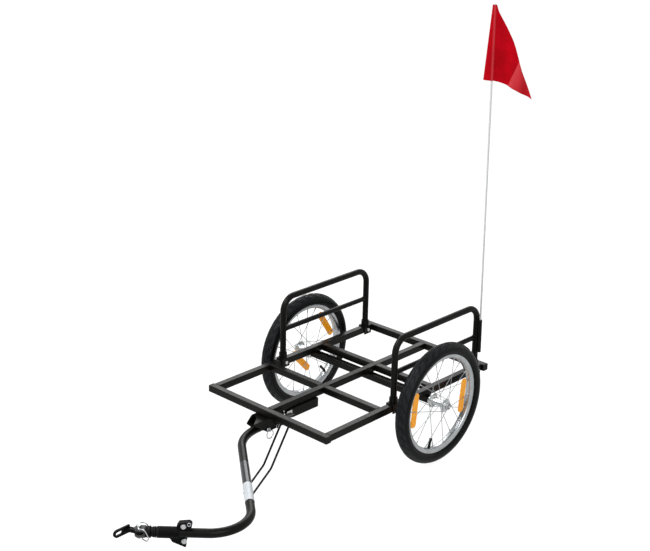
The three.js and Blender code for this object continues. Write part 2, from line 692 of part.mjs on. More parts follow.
// Amber spoke reflector: lens with round ends and bevelled edges
function reflector() {
  const end = REFLECTOR_LENGTH / 2 - REFLECTOR_WIDTH / 2;
  const lens = new THREE.Shape();
  lens.absarc(end, 0, REFLECTOR_WIDTH / 2, -Math.PI / 2, Math.PI / 2);
  lens.absarc(-end, 0, REFLECTOR_WIDTH / 2, Math.PI / 2, 1.5 * Math.PI);
  const geometry = new THREE.ExtrudeGeometry(lens, {
    depth: REFLECTOR_THICKNESS - 2 * REFLECTOR_BEVEL,
    bevelEnabled: true,
    bevelThickness: REFLECTOR_BEVEL,
    bevelSize: REFLECTOR_BEVEL,
    bevelOffset: -REFLECTOR_BEVEL,
    bevelSegments: 1,
    curveSegments: 4,
  });
  return geometry.rotateX(-Math.PI / 2).rotateY(Math.PI / 2).translate(0, REFLECTOR_BEVEL - REFLECTOR_THICKNESS / 2, 0);
}

function addWheel(side, valveAngle, reflectors) {
  const left = side === "left";
  const toWheel = (degrees) => THREE.MathUtils.degToRad(left ? degrees : 180 - degrees);
  const wheel = new THREE.Group();
  wheel.position.set(0, (left ? 1 : -1) * TRACK / 2, AXLE_HEIGHT);
  wheel.rotation.z = left ? 0 : Math.PI;
  trailer.add(wheel);
  const valveTurn = toWheel(valveAngle);
  const seamTurn = left ? Math.PI / 2 : Math.PI;
  const tread = addPiece(wheel, `tyre_${side}`, tyre().rotateY(seamTurn), tyreRubber);
  tread.rotation.z = left ? 0 : Math.PI;
  addPiece(wheel, `rim_${side}`, rim(valveTurn), rimAlloy);
  const laced = addPiece(wheel, `hub_and_spokes_${side}`, hubAndSpokes(), spokeSteel);
  laced.rotation.y = -valveTurn;
  addPiece(wheel, `valve_${side}`, valve(), blackPlastic).rotation.y = -valveTurn;
  reflectors.forEach(([degrees, radius, shift], index) => {
    const turn = toWheel(degrees);
    const centre = wheelPoint(radius, turn, shift);
    const name = `reflector_${side}_${index + 1}`;
    addPiece(wheel, name, reflector(), amberPlastic, centre.x, centre.y, centre.z).rotation.y = -turn;
  });
  addPiece(wheel, `axle_${side}`, wheelAxle(), chromeSteel);
  addPiece(wheel, `axle_button_${side}`, axleButton(), spokeSteel);
}

// Side hoop with its lower bar, standing in the XZ plane
function hoop() {
  const foot = BED_TOP + SEAT_GAP + FOOT_PLATE + SEAT_GAP;
  const top = BED_TOP + HOOP_TOP;
  const corners = [
    new THREE.Vector3(HOOP_FRONT_X, 0, foot),
    new THREE.Vector3(HOOP_FRONT_X, 0, top),
    new THREE.Vector3(HOOP_REAR_X, 0, top),
    new THREE.Vector3(HOOP_REAR_X, 0, foot),
  ];
  const arch = bentPipe(corners, [HOOP_BEND, HOOP_BEND], HOOP_RADIUS, HOOP_WALL, 6);
  const reach = HOOP_RADIUS * Math.cos(Math.PI / PIPE_SIDES) - WELD_DEPTH;
  const barZ = BED_TOP + HOOP_BAR_HEIGHT;
  return join(arch, rodX(HOOP_REAR_X + reach, HOOP_FRONT_X - reach, 0, barZ, HOOP_BAR_RADIUS));
}

// Hoop foot: saddle over the rail, collar for the leg, gusset ahead of the collar
function hoopFoot() {
  const railHalf = TUBE / 2 + SEAT_GAP;
  const outer = railHalf + FOOT_PLATE;
  const half = FOOT_LENGTH / 2;
  const railTop = TUBE / 2 + SEAT_GAP;
  const plateTop = railTop + FOOT_PLATE;
  const cheekEnd = TUBE / 2 - FOOT_CHEEK_DEPTH;
  const collarTop = plateTop + FOOT_COLLAR_HEIGHT;
  const saddle = block(-half, half, -outer, outer, cheekEnd, plateTop);
  const collar = rodZ(0, 0, plateTop - WELD_DEPTH, collarTop, FOOT_COLLAR_RADIUS, BORE_SIDES);
  const gussetRoot = FOOT_COLLAR_RADIUS - WELD_DEPTH;
  const gusset = plateXZ([
    [gussetRoot, plateTop - WELD_DEPTH],
    [half, plateTop - WELD_DEPTH],
    [half, plateTop],
    [gussetRoot, plateTop + GUSSET_HEIGHT],
  ], -GUSSET_THICKNESS / 2, GUSSET_THICKNESS / 2);
  const slot = block(-half - CUT_OVERRUN, half + CUT_OVERRUN, -railHalf, railHalf, cheekEnd - CUT_OVERRUN, railTop);
  const bore = rodZ(0, 0, plateTop, collarTop + CUT_OVERRUN, boreRadius(HOOP_RADIUS), BORE_SIDES);
  const holeEnd = outer + CUT_OVERRUN;
  const hole = rodY(0, -holeEnd, holeEnd, 0, boreRadius(FOOT_BOLT_RADIUS, SEAT_GAP, WIRE_SIDES), WIRE_SIDES);
  return cut(join(saddle, collar, gusset), slot, bore, hole);
}

function addHoops() {
  const grip = TUBE / 2 + SEAT_GAP + FOOT_PLATE;
  for (const [side, sign] of [["left", 1], ["right", -1]]) {
    addPiece(trailer, `hoop_${side}`, hoop(), powderBlack, 0, sign * RAIL_Y, 0);
    for (const [end, x] of [["front", HOOP_FRONT_X], ["rear", HOOP_REAR_X]]) {
      const y = sign * RAIL_Y;
      addPiece(trailer, `hoop_foot_${end}_${side}`, hoopFoot(), powderBlack, x, y, BED_MIDDLE);
      const bolt = hexBolt(FOOT_BOLT_RADIUS, -grip, grip);
      const placed = addPiece(trailer, `hoop_bolt_${end}_${side}`, bolt, zincSteel, x, y, BED_MIDDLE);
      placed.rotation.z = sign > 0 ? 0 : Math.PI;
    }
  }
}

// Flag: pole in a closed-bottom sleeve beside the left rear hoop leg
function flagSleeve() {
  const bore = boreRadius(FLAG_POLE_RADIUS, SEAT_GAP, WIRE_SIDES);
  const height = SLEEVE_TOP - SLEEVE_BOTTOM;
  const profile = [[0, 0], [SLEEVE_RADIUS, 0], [SLEEVE_RADIUS, height], [bore, height], [bore, SLEEVE_FLOOR], [0, SLEEVE_FLOOR]];
  return turned(profile, WIRE_SIDES).rotateX(Math.PI / 2);
}

// Pennant: cloth pocket round the pole and a tail that narrows upwards, in folds
function pennant() {
  const inner = boreRadius(FLAG_POLE_RADIUS, SEAT_GAP, WIRE_SIDES);
  const outer = inner + FLAG_CLOTH;
  const levels = flagWidthShares.length - 1;
  const rings = { outside: [], inside: [] };
  for (let level = 0; level <= levels; level++) {
    const rise = level / levels;
    rings.outside.push(pennantOutside(rise, flagWidthShares[level], outer));
    rings.inside.push(pennantInside(rise, inner));
  }
  return closeRings(rings.outside, rings.inside);
}

// Height of the cloth at a share of its height and a distance from the pole
function clothHeight(rise, reachShare) {
  const sag = FLAG_DROOP * (1 - rise) * reachShare ** 1.4;
  return FLAG_HEIGHT * rise - sag;
}

function foldOffset(rise, reachShare) {
  const depth = FLAG_FOLD_DEPTH * (1 - 0.8 * rise);
  return depth * Math.sin(2.6 * Math.PI * reachShare) * Math.min(1, 3 * reachShare);
}

function pennantOutside(rise, widthShare, outer) {
  const tail = FLAG_SEAM + (FLAG_REACH - outer - FLAG_SEAM) * widthShare;
  const front = THREE.MathUtils.lerp(FLAG_POCKET_BOTTOM, FLAG_POCKET_TOP, rise);
  const half = FLAG_CLOTH / 2;
  const columns = 10;
  const ring = [];
  const tailPoint = (share, side) => {
    const along = outer + tail * share;
    const fold = foldOffset(rise, share * widthShare);
    ring.push(new THREE.Vector3(along, fold + side * half, clothHeight(rise, share * widthShare)));
  };
  const shoulder = (side) => {
    const reach = outer * Math.SQRT1_2;
    ring.push(new THREE.Vector3(reach, side * reach, clothHeight(rise, 0)));
  };
  shoulder(-1);
  for (let k = 0; k <= columns; k++) tailPoint(k / columns, -1);
  for (let k = columns; k >= 0; k--) tailPoint(k / columns, 1);
  shoulder(1);
  pocketAlongShares.forEach((share, k) => {
    const across = pocketAcrossShares[k] * outer;
    ring.push(new THREE.Vector3(-front * share, across, clothHeight(rise, 0)));
  });
  return ring;
}

function pennantInside(rise, inner) {
  const front = THREE.MathUtils.lerp(FLAG_POCKET_BOTTOM, FLAG_POCKET_TOP, rise) - FLAG_CLOTH;
  const ring = [];
  for (const angle of [-45, 0, 45]) {
    const turn = THREE.MathUtils.degToRad(angle);
    ring.push(new THREE.Vector3(inner * Math.cos(turn), inner * Math.sin(turn), clothHeight(rise, 0)));
  }
  pocketAlongShares.forEach((share, k) => {
    ring.push(new THREE.Vector3(-front * share, pocketAcrossShares[k] * inner, clothHeight(rise, 0)));
  });
  return ring;
}

// Closed solid from stacked outer rings with stacked inner rings as its hole
function closeRings(outside, inside) {
  const positions = [];
  const indices = [];
  const addStack = (rings) => {
    const first = positions.length / 3;
    rings.forEach((ring) => ring.forEach((point) => positions.push(point.x, point.y, point.z)));
    return first;
  };
  const outerFirst = addStack(outside);
  const innerFirst = addStack(inside);
  const skin = (first, count, levels, inward) => {
    for (let level = 0; level < levels; level++) {
      for (let k = 0; k < count; k++) {
        const a = first + level * count + k;
        const b = first + level * count + (k + 1) % count;
        const faces = [[a, b, b + count], [a, b + count, a + count]];
        faces.forEach((face) => indices.push(...(inward ? face.reverse() : face)));
      }
    }
  };
  skin(outerFirst, outside[0].length, outside.length - 1, false);
  skin(innerFirst, inside[0].length, inside.length - 1, true);
  const lid = (level, upward) => {
    const flatten = (ring) => ring.map((point) => new THREE.Vector2(point.x, point.y));
    const faces = THREE.ShapeUtils.triangulateShape(flatten(outside[level]), [flatten(inside[level])]);
    const count = outside[level].length;
    const place = (k) => (k < count
      ? outerFirst + level * count + k
      : innerFirst + level * inside[level].length + k - count);
    faces.forEach(([a, b, c]) => indices.push(place(a), place(upward ? b : c), place(upward ? c : b)));
  };
  lid(0, false);
  lid(outside.length - 1, true);
  const geometry = new THREE.BufferGeometry();
  geometry.setAttribute("position", new THREE.Float32BufferAttribute(positions, 3));
  geometry.setIndex(indices);
  geometry.computeVertexNormals();
  return geometry;
}

function addFlag() {
  const mast = new THREE.Group();
  const y = RAIL_Y + HOOP_RADIUS + SEAT_GAP + SLEEVE_RADIUS;
  mast.position.set(HOOP_REAR_X, y, SLEEVE_BOTTOM);
  mast.rotation.y = FLAG_LEAN;
  trailer.add(mast);
  addPiece(mast, "flag_sleeve", flagSleeve(), blackPlastic);
  const foot = SLEEVE_FLOOR + SEAT_GAP;
  const top = (FLAG_POLE_TOP - SLEEVE_BOTTOM) / Math.cos(FLAG_LEAN);
  addPiece(mast, "flag_pole", rodZ(0, 0, foot, top, FLAG_POLE_RADIUS, 10), paleFibreglass);
  const hem = (FLAG_TOP - SLEEVE_BOTTOM) / Math.cos(FLAG_LEAN) - FLAG_HEIGHT;
  addPiece(mast, "flag", pennant(), redCloth, 0, 0, hem).rotation.z = flagHeading;
}

// Receiver bracket: folded channel with a chamfered nose, drilled for pivot bolt and hitch pin
function receiver() {
  const right = RECEIVER_CENTRE_Y - RECEIVER_WIDTH / 2;
  const shoulder = RECEIVER_NOSE - RECEIVER_CHAMFER;
  const outline = [
    [RECEIVER_REAR, RECEIVER_BOTTOM],
    [shoulder, RECEIVER_BOTTOM],
    [RECEIVER_NOSE, (RECEIVER_BOTTOM + RECEIVER_TOP) / 2],
    [shoulder, RECEIVER_TOP],
    [RECEIVER_REAR, RECEIVER_TOP],
  ];
  const body = plateXZ(outline, right, RECEIVER_LEFT);
  const channel = block(
    RECEIVER_REAR - CUT_OVERRUN,
    RECEIVER_NOSE + CUT_OVERRUN,
    right + RECEIVER_PLATE,
    RECEIVER_LEFT - RECEIVER_PLATE,
    RECEIVER_BOTTOM - CUT_OVERRUN,
    RECEIVER_TOP - RECEIVER_PLATE,
  );
  const end = CUT_OVERRUN;
  const pivot = rodY(PIVOT_X, right - end, RECEIVER_LEFT + end, TOW_HEIGHT, boreRadius(PIVOT_RADIUS), BORE_SIDES);
  const hitch = rodY(HITCH_PIN_X, right - end, RECEIVER_LEFT + end, TOW_HEIGHT, boreRadius(HITCH_PIN_RADIUS), BORE_SIDES);
  return cut(body, channel, pivot, hitch);
}

// Hitch pin with a flat tab that carries the pull ring
function hitchPin() {
  const right = RECEIVER_CENTRE_Y - RECEIVER_WIDTH / 2 - HITCH_PIN_END;
  const headStart = RECEIVER_LEFT + SEAT_GAP;
  const tabStart = headStart + HITCH_HEAD_THICKNESS;
  const tabEnd = tabStart + HITCH_TAB_LENGTH;
  const half = HITCH_TAB_THICKNESS / 2;
  const shank = rodY(0, right, headStart + WELD_DEPTH, 0, HITCH_PIN_RADIUS);
  const head = rodY(0, headStart, tabStart, 0, HITCH_HEAD_RADIUS, BORE_SIDES);
  const tab = block(-half, half, tabStart - WELD_DEPTH, tabEnd, -HITCH_TAB_HEIGHT / 2, HITCH_TAB_HEIGHT / 2);
  const reach = half + CUT_OVERRUN;
  const eye = rodX(-reach, reach, (tabStart + tabEnd) / 2, 0, RING_HOLE_RADIUS, BORE_SIDES);
  return cut(join(shank, head, tab), eye);
}

function addReceiver() {
  addPiece(trailer, "receiver", receiver(), powderBlack);
  const right = RECEIVER_CENTRE_Y - RECEIVER_WIDTH / 2;
  const bolt = hexBolt(PIVOT_RADIUS, -RECEIVER_LEFT, -right);
  addPiece(trailer, "pivot_bolt", bolt, chromeSteel, PIVOT_X, 0, TOW_HEIGHT).rotation.z = Math.PI;
  addPiece(trailer, "hitch_pin", hitchPin(), chromeSteel, HITCH_PIN_X, 0, TOW_HEIGHT);
  const ring = new THREE.TorusGeometry(RING_RADIUS, RING_WIRE_RADIUS, FINE_WIRE_SIDES, 20).rotateX(Math.PI / 2);
  const tabMiddle = RECEIVER_LEFT + SEAT_GAP + HITCH_HEAD_THICKNESS + HITCH_TAB_LENGTH / 2;
  addPiece(trailer, "pull_ring", ring, spokeSteel, HITCH_PIN_X, tabMiddle, TOW_HEIGHT - RING_RADIUS);
}

// Rectangular channel under the centre rail, closed at its rear end
function rearChannel() {
  const half = CHANNEL_WIDTH / 2;
  const top = BED_BOTTOM - SEAT_GAP;
  const bottom = top - CHANNEL_HEIGHT;
  const box = block(CHANNEL_REAR, CHANNEL_FRONT, -half, half, bottom, top);
  const inner = half - CHANNEL_WALL;
  const hollowFront = CHANNEL_FRONT + CUT_OVERRUN;
  const hollow = block(CHANNEL_REAR + CHANNEL_WALL, hollowFront, -inner, inner, bottom + CHANNEL_WALL, top - CHANNEL_WALL);
  return cut(box, hollow);
}

// Stand bracket: plate under the front cross tube with a cross sleeve for the wire's ends
function standBracket() {
  const top = BED_BOTTOM - SEAT_GAP;
  const half = STAND_PLATE_WIDTH / 2;
  const left = STAND_CENTRE_Y + half;
  const right = STAND_CENTRE_Y - half;
  const plate = block(STAND_PLATE_REAR, BED_FRONT, right, left, top - STAND_PLATE_THICKNESS, top);
  const sleeve = rodY(STAND_PIVOT_X, right, left, STAND_PIVOT_Z, STAND_SLEEVE_RADIUS, BORE_SIDES);
  const end = CUT_OVERRUN;
  const bore = rodY(STAND_PIVOT_X, right - end, left + end, STAND_PIVOT_Z, boreRadius(STAND_WIRE_RADIUS), BORE_SIDES);
  return cut(join(plate, sleeve), bore);
}

// Wire stand: one bent rod, both ends hooked into the bracket's sleeve
function kickstand() {
  const half = STAND_WIDTH / 2;
  const foot = STAND_WIRE_RADIUS;
  const hookEnd = SEAT_GAP + STAND_HOOK_SPACE;
  const corners = [
    [STAND_PIVOT_X, -hookEnd, STAND_PIVOT_Z],
    [STAND_PIVOT_X, -half, STAND_PIVOT_Z],
    [STAND_BEND_X, -half, STAND_BEND_Z],
    [STAND_FOOT_X, -half, foot],
    [STAND_FOOT_X, half, foot],
    [STAND_BEND_X, half, STAND_BEND_Z],
    [STAND_PIVOT_X, half, STAND_PIVOT_Z],
    [STAND_PIVOT_X, hookEnd, STAND_PIVOT_Z],
  ].map(([x, y, z]) => new THREE.Vector3(x, y, z));
  const hook = STAND_WIRE_RADIUS + SEAT_GAP;
  const bends = [hook, STAND_BEND_RADIUS, STAND_CORNER_RADIUS, STAND_CORNER_RADIUS, STAND_BEND_RADIUS, hook];
  return bentPipe(corners, bends, STAND_WIRE_RADIUS, 0, 3, WIRE_SIDES);
}

function addStand() {
  addPiece(trailer, "stand_bracket", standBracket(), powderBlack);
  addPiece(trailer, "kickstand", kickstand(), powderBlack, 0, STAND_CENTRE_Y, 0);
}

// Tow bar: one bent pipe with two cross sleeves inside the receiver
function towBar() {
  const y = RECEIVER_CENTRE_Y;
  const direction = new THREE.Vector3(Math.cos(COUPLER_ANGLE), Math.sin(COUPLER_ANGLE), 0);
  const grip = new THREE.Vector3(TOW_GRIP_X, TOW_GRIP_Y, TOW_HEIGHT);
  const corners = [
    new THREE.Vector3(TOW_ROOT_X, y, TOW_HEIGHT),
    new THREE.Vector3(TOW_FIRST_CORNER_X, y, TOW_HEIGHT),
    new THREE.Vector3(TOW_SECOND_CORNER_X, TOW_SECOND_CORNER_Y, TOW_HEIGHT),
    grip.clone().addScaledVector(direction, TOW_TAIL),
  ];
  const pipe = bentPipe(corners, [TOW_FIRST_BEND, TOW_SECOND_BEND], TOW_RADIUS, TOW_WALL, 8);
  const half = RECEIVER_WIDTH / 2 - RECEIVER_PLATE - SEAT_GAP;
  const sleeve = (x) => rodY(x, y - half, y + half, TOW_HEIGHT, TOW_SLEEVE_RADIUS, BORE_SIDES);
  const end = half + CUT_OVERRUN;
  const drill = (x, radius) => rodY(x, y - end, y + end, TOW_HEIGHT, boreRadius(radius), BORE_SIDES);
  const whole = join(pipe, sleeve(PIVOT_X), sleeve(HITCH_PIN_X));
  return cut(whole, drill(PIVOT_X, PIVOT_RADIUS), drill(HITCH_PIN_X, HITCH_PIN_RADIUS));
}

// Thin blank band wrapped round the straight part of the tow bar
function labelBand() {
  const inner = boreRadius(TOW_RADIUS, SEAT_GAP, BORE_SIDES);
  const outer = inner + BAND_THICKNESS;
  const profile = [[inner, 0], [outer, 0], [outer, BAND_LENGTH], [inner, BAND_LENGTH]];
  return turned(profile, BORE_SIDES).rotateZ(-Math.PI / 2);
}

function addTowBar() {
  addPiece(trailer, "tow_bar", towBar(), powderBlack);
  const rise = TOW_SECOND_CORNER_Y - RECEIVER_CENTRE_Y;
  const run = TOW_SECOND_CORNER_X - TOW_FIRST_CORNER_X;
  const heading = Math.atan2(rise, run);
  const x = TOW_FIRST_CORNER_X + BAND_START * Math.cos(heading);
  const y = RECEIVER_CENTRE_Y + BAND_START * Math.sin(heading);
  addPiece(trailer, "label_band", labelBand(), whiteVinyl, x, y, TOW_HEIGHT).rotation.z = heading;
}

// Coupler clamp: split barrel with an upper lug and a lower wing
function couplerClamp() {
  const end = CLAMP_START + CLAMP_LENGTH;
  const half = CLAMP_LUG_THICKNESS / 2;
  const barrel = rodX(CLAMP_START, end, 0, 0, CLAMP_RADIUS, BORE_SIDES);
  const lug = plateXZ([
    [CLAMP_LUG_BACK + CLAMP_LUG_CHAMFER, CLAMP_LUG_ROOT],
    [CLAMP_LUG_FRONT, CLAMP_LUG_ROOT],
    [CLAMP_LUG_FRONT, CLAMP_LUG_TOP - 2 * CLAMP_LUG_CHAMFER],
    [CLAMP_LUG_FRONT - CLAMP_LUG_CHAMFER, CLAMP_LUG_TOP - CLAMP_LUG_CHAMFER / 2],
    [CLAMP_LUG_BACK + CLAMP_LUG_CHAMFER, CLAMP_LUG_TOP],
    [CLAMP_LUG_BACK, CLAMP_LUG_TOP - CLAMP_LUG_CHAMFER],
    [CLAMP_LUG_BACK, CLAMP_EYE_Z - CLAMP_LUG_CHAMFER],
  ], -half, half);
  const wing = plateXZ([
    [CLAMP_WING_BACK, -CLAMP_LUG_ROOT],
    [CLAMP_WING_BACK, -CLAMP_WING_DEPTH + WELD_DEPTH],
    [CLAMP_WING_BACK + CUT_OVERRUN, -CLAMP_WING_DEPTH],
    [CLAMP_WING_SHOULDER, -CLAMP_WING_STEP],
    [CLAMP_WING_FRONT, -CLAMP_LUG_ROOT],
  ], -half, half);
  const over = CUT_OVERRUN;
  const bore = rodX(CLAMP_LUG_BACK - over, end + over, 0, 0, boreRadius(TOW_RADIUS), BORE_SIDES);
  const drill = (x, z) => rodY(x, -half - over, half + over, z, boreRadius(CLAMP_BOLT_RADIUS), BORE_SIDES);
  const upper = drill(CLAMP_UPPER_BOLT_X, CLAMP_UPPER_BOLT_Z);
  const lower = drill(CLAMP_LOWER_BOLT_X, CLAMP_LOWER_BOLT_Z);
  const eye = drill(CLAMP_EYE_X, CLAMP_EYE_Z);
  return cut(join(barrel, lug, wing), bore, upper, lower, eye);
}

// Rubber joint: stub inside the clamp, body, and a dome that the yoke's cup rides on
function flexJoint() {
  const stubStart = TOW_TAIL + SEAT_GAP;
  const bodyStart = CLAMP_START + CLAMP_LENGTH + SEAT_GAP;
  const points = [[0, stubStart], [TOW_RADIUS, stubStart], [TOW_RADIUS, bodyStart], [FLEX_RADIUS, bodyStart]];
  const widest = Math.asin(FLEX_RADIUS / FLEX_DOME_RADIUS);
  for (let k = 0; k < 5; k++) {
    const angle = widest * (1 - k / 5);
    points.push([FLEX_DOME_RADIUS * Math.sin(angle), FLEX_PIVOT + FLEX_DOME_RADIUS * Math.cos(angle)]);
  }
  points.push([0, FLEX_PIVOT + FLEX_DOME_RADIUS]);
  return turned(points, BORE_SIDES).rotateZ(-Math.PI / 2);
}

// Yoke: cup over the rubber dome, block and slotted round nose
function yoke() {
  const cupEnd = YOKE_CUP_START + YOKE_CUP_LENGTH;
  const halfWidth = YOKE_WIDTH / 2;
  const halfHeight = YOKE_HEIGHT / 2;
  const cup = rodX(YOKE_CUP_START, cupEnd, 0, 0, YOKE_CUP_RADIUS, BORE_SIDES);
  const body = block(cupEnd - WELD_DEPTH, YOKE_PIN_X, -halfWidth, halfWidth, -halfHeight, halfHeight);
  const nose = rodZ(YOKE_PIN_X, 0, -halfHeight, halfHeight, halfWidth, BORE_SIDES);
  const sides = HUB_SIDES;
  const cavityRadius = (FLEX_DOME_RADIUS + SEAT_GAP) / Math.cos(Math.PI / sides) ** 2;
  const cavity = new THREE.SphereGeometry(cavityRadius, sides, sides).translate(FLEX_PIVOT, 0, 0);
  const slotEnd = YOKE_PIN_X + YOKE_WIDTH;
  const slot = block(YOKE_SLOT_START, slotEnd, -YOKE_WIDTH, YOKE_WIDTH, -YOKE_SLOT / 2, YOKE_SLOT / 2);
  const end = halfHeight + CUT_OVERRUN;
  const bore = rodZ(YOKE_PIN_X, 0, -end, end, boreRadius(YOKE_PIN_RADIUS), BORE_SIDES);
  return cut(join(cup, body, nose), cavity, slot, bore);
}

// Yoke pin: drilled head above, nut below
function yokePin() {
  const half = YOKE_HEIGHT / 2 + SEAT_GAP;
  const headTop = half + YOKE_PIN_HEAD_HEIGHT;
  const shank = rodZ(0, 0, -half - YOKE_PIN_TAIL - WELD_DEPTH, half + WELD_DEPTH, YOKE_PIN_RADIUS);
  const head = rodZ(0, 0, half, headTop, YOKE_PIN_HEAD_RADIUS);
  const nut = rodZ(0, 0, -half - YOKE_PIN_TAIL, -half, YOKE_PIN_RADIUS * hexRadiusShare, 6);
  const reach = YOKE_PIN_HEAD_RADIUS + CUT_OVERRUN;
  const eye = rodY(0, -reach, reach, half + YOKE_PIN_HEAD_HEIGHT / 2, boreRadius(BAIL_WIRE_RADIUS), BORE_SIDES);
  return cut(join(shank, head, nut), eye);
}

// Wire bail: both ends in the pin's head, loop passing under the yoke behind the pin
function bail() {
  const top = YOKE_HEIGHT / 2 + SEAT_GAP + YOKE_PIN_HEAD_HEIGHT / 2;
  const near = [
    [YOKE_PIN_X, BAIL_GRIP, top],
    [YOKE_PIN_X, BAIL_OFFSET, top],
    [BAIL_SHOULDER, BAIL_OFFSET, top - BAIL_SHOULDER_DROP],
    [BAIL_REAR, BAIL_OFFSET, BAIL_KNEE_Z],
    [BAIL_FOOT_X, BAIL_OFFSET, -BAIL_DEPTH],
    [BAIL_TOE_X, BAIL_TOE_HALF, -BAIL_DEPTH],
  ];
  const far = near.map(([x, y, z]) => [x, -y, z]).reverse();
  const corners = [...near, ...far].map(([x, y, z]) => new THREE.Vector3(x, y, z));
  const bends = [BAIL_BEND, 3 * BAIL_BEND, 2 * BAIL_BEND, BAIL_BEND, BAIL_BEND];
  return bentPipe(corners, [...bends, ...[...bends].reverse()], BAIL_WIRE_RADIUS, 0, 3, FINE_WIRE_SIDES);
}

// Axle plate: eye in the yoke's slot, short neck and an upright slotted plate
function axlePlate() {
  const tongue = YOKE_SLOT / 2 - SEAT_GAP;
  const eye = rodZ(0, 0, -tongue, tongue, PLATE_EYE_RADIUS, BORE_SIDES);
  const side = -PLATE_OFFSET;
  const joinX = PLATE_START + PLATE_NECK_WIDTH / 2;
  const neckLength = Math.hypot(joinX, side);
  const half = PLATE_NECK_WIDTH / 2;
  const neck = block(0, neckLength, -half, half, -tongue, tongue).rotateZ(Math.atan2(side, joinX));
  const plateEnd = PLATE_START + PLATE_LENGTH;
  const upright = uprightPlate(plateEnd);
  const end = tongue + CUT_OVERRUN;
  const bore = rodZ(0, 0, -end, end, boreRadius(YOKE_PIN_RADIUS), BORE_SIDES);
  return cut(join(eye, neck, upright), bore, plateSlot(plateEnd));
}

function uprightPlate(plateEnd) {
  const radius = PLATE_HEIGHT / 2;
  const centre = plateEnd - radius;
  const y0 = -PLATE_OFFSET - PLATE_THICKNESS / 2;
  const y1 = -PLATE_OFFSET + PLATE_THICKNESS / 2;
  const flat = block(PLATE_START, centre, y0, y1, -radius, radius);
  return join(flat, rodY(centre, y0, y1, 0, radius, BORE_SIDES));
}

function plateSlot(plateEnd) {
  const front = plateEnd - PLATE_HEIGHT / 2;
  const back = front - PLATE_SLOT_LENGTH;
  const y0 = -PLATE_OFFSET - PLATE_THICKNESS;
  const y1 = -PLATE_OFFSET + PLATE_THICKNESS;
  const radius = PLATE_SLOT_RADIUS;
  const middle = block(back, front, y0, y1, -radius, radius);
  return join(middle, rodY(front, y0, y1, 0, radius, BORE_SIDES), rodY(back, y0, y1, 0, radius, BORE_SIDES));
}

function addCoupler() {
  const coupler = new THREE.Group();
  coupler.position.set(TOW_GRIP_X, TOW_GRIP_Y, TOW_HEIGHT);
  coupler.rotation.z = COUPLER_ANGLE;
  trailer.add(coupler);
  const half = CLAMP_LUG_THICKNESS / 2;
  addPiece(coupler, "coupler_clamp", couplerClamp(), powderBlack);
  for (const [name, x, z] of [
    ["clamp_bolt_upper", CLAMP_UPPER_BOLT_X, CLAMP_UPPER_BOLT_Z],
    ["clamp_bolt_lower", CLAMP_LOWER_BOLT_X, CLAMP_LOWER_BOLT_Z],
  ]) {
    addPiece(coupler, name, hexBolt(CLAMP_BOLT_RADIUS, -half, half), chromeSteel, x, 0, z).rotation.z = Math.PI;
  }
  addPiece(coupler, "flex_joint", flexJoint(), blackPlastic);
  addPiece(coupler, "yoke", yoke(), castGrey);
  addPiece(coupler, "yoke_pin", yokePin(), chromeSteel, YOKE_PIN_X, 0, 0);
  addPiece(coupler, "bail", bail(), spokeSteel);
  const adapter = new THREE.Group();
  adapter.position.set(YOKE_PIN_X, 0, 0);
  adapter.rotation.z = -COUPLER_ANGLE;
  coupler.add(adapter);
  addPiece(adapter, "axle_plate", axlePlate(), castGrey);
}

addBed();
addPiece(trailer, "axle_tube", axleTube(), powderBlack, 0, 0, AXLE_HEIGHT);
addHoops();
addWheel("left", LEFT_VALVE_ANGLE, LEFT_REFLECTORS);
addWheel("right", RIGHT_VALVE_ANGLE, RIGHT_REFLECTORS);
addReceiver();
addPiece(trailer, "rear_channel", rearChannel(), powderBlack);
addStand();
addTowBar();
addCoupler();
addFlag();

// Origin at the middle of the footprint, on the ground
trailer.updateMatrixWorld(true);
const footprint = new THREE.Box3().setFromObject(trailer, true);
const middle = footprint.getCenter(new THREE.Vector3());
trailer.position.set(-middle.x, -middle.y, -footprint.min.z);

export default trailer;
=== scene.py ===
"""Cargo bike trailer: finer pieces, finishes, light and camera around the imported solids.

Lengths are millimetres: x from the wheels' axle, y from the bed's middle and z from the ground. Shapes are
built in them and turned into metres when they are placed. Lengths inside a finish are metres.
"""
import json
from math import asin, atan2, ceil, cos, pi, radians, sin, tan

import bmesh
import bpy
from mathutils import Matrix, Vector


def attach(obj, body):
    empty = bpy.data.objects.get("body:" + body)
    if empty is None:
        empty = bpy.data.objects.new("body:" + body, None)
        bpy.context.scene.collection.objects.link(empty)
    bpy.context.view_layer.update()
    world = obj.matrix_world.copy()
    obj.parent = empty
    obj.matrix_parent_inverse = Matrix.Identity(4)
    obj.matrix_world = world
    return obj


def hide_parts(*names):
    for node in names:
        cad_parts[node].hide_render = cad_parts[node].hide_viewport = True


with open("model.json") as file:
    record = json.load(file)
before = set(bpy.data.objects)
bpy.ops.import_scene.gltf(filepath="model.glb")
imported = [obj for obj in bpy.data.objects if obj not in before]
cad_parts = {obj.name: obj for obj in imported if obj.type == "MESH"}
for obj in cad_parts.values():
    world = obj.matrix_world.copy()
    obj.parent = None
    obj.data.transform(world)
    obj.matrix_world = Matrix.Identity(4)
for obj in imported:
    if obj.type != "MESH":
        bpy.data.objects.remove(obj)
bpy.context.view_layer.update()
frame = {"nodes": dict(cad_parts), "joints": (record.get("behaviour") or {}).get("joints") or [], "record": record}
scene = bpy.context.scene

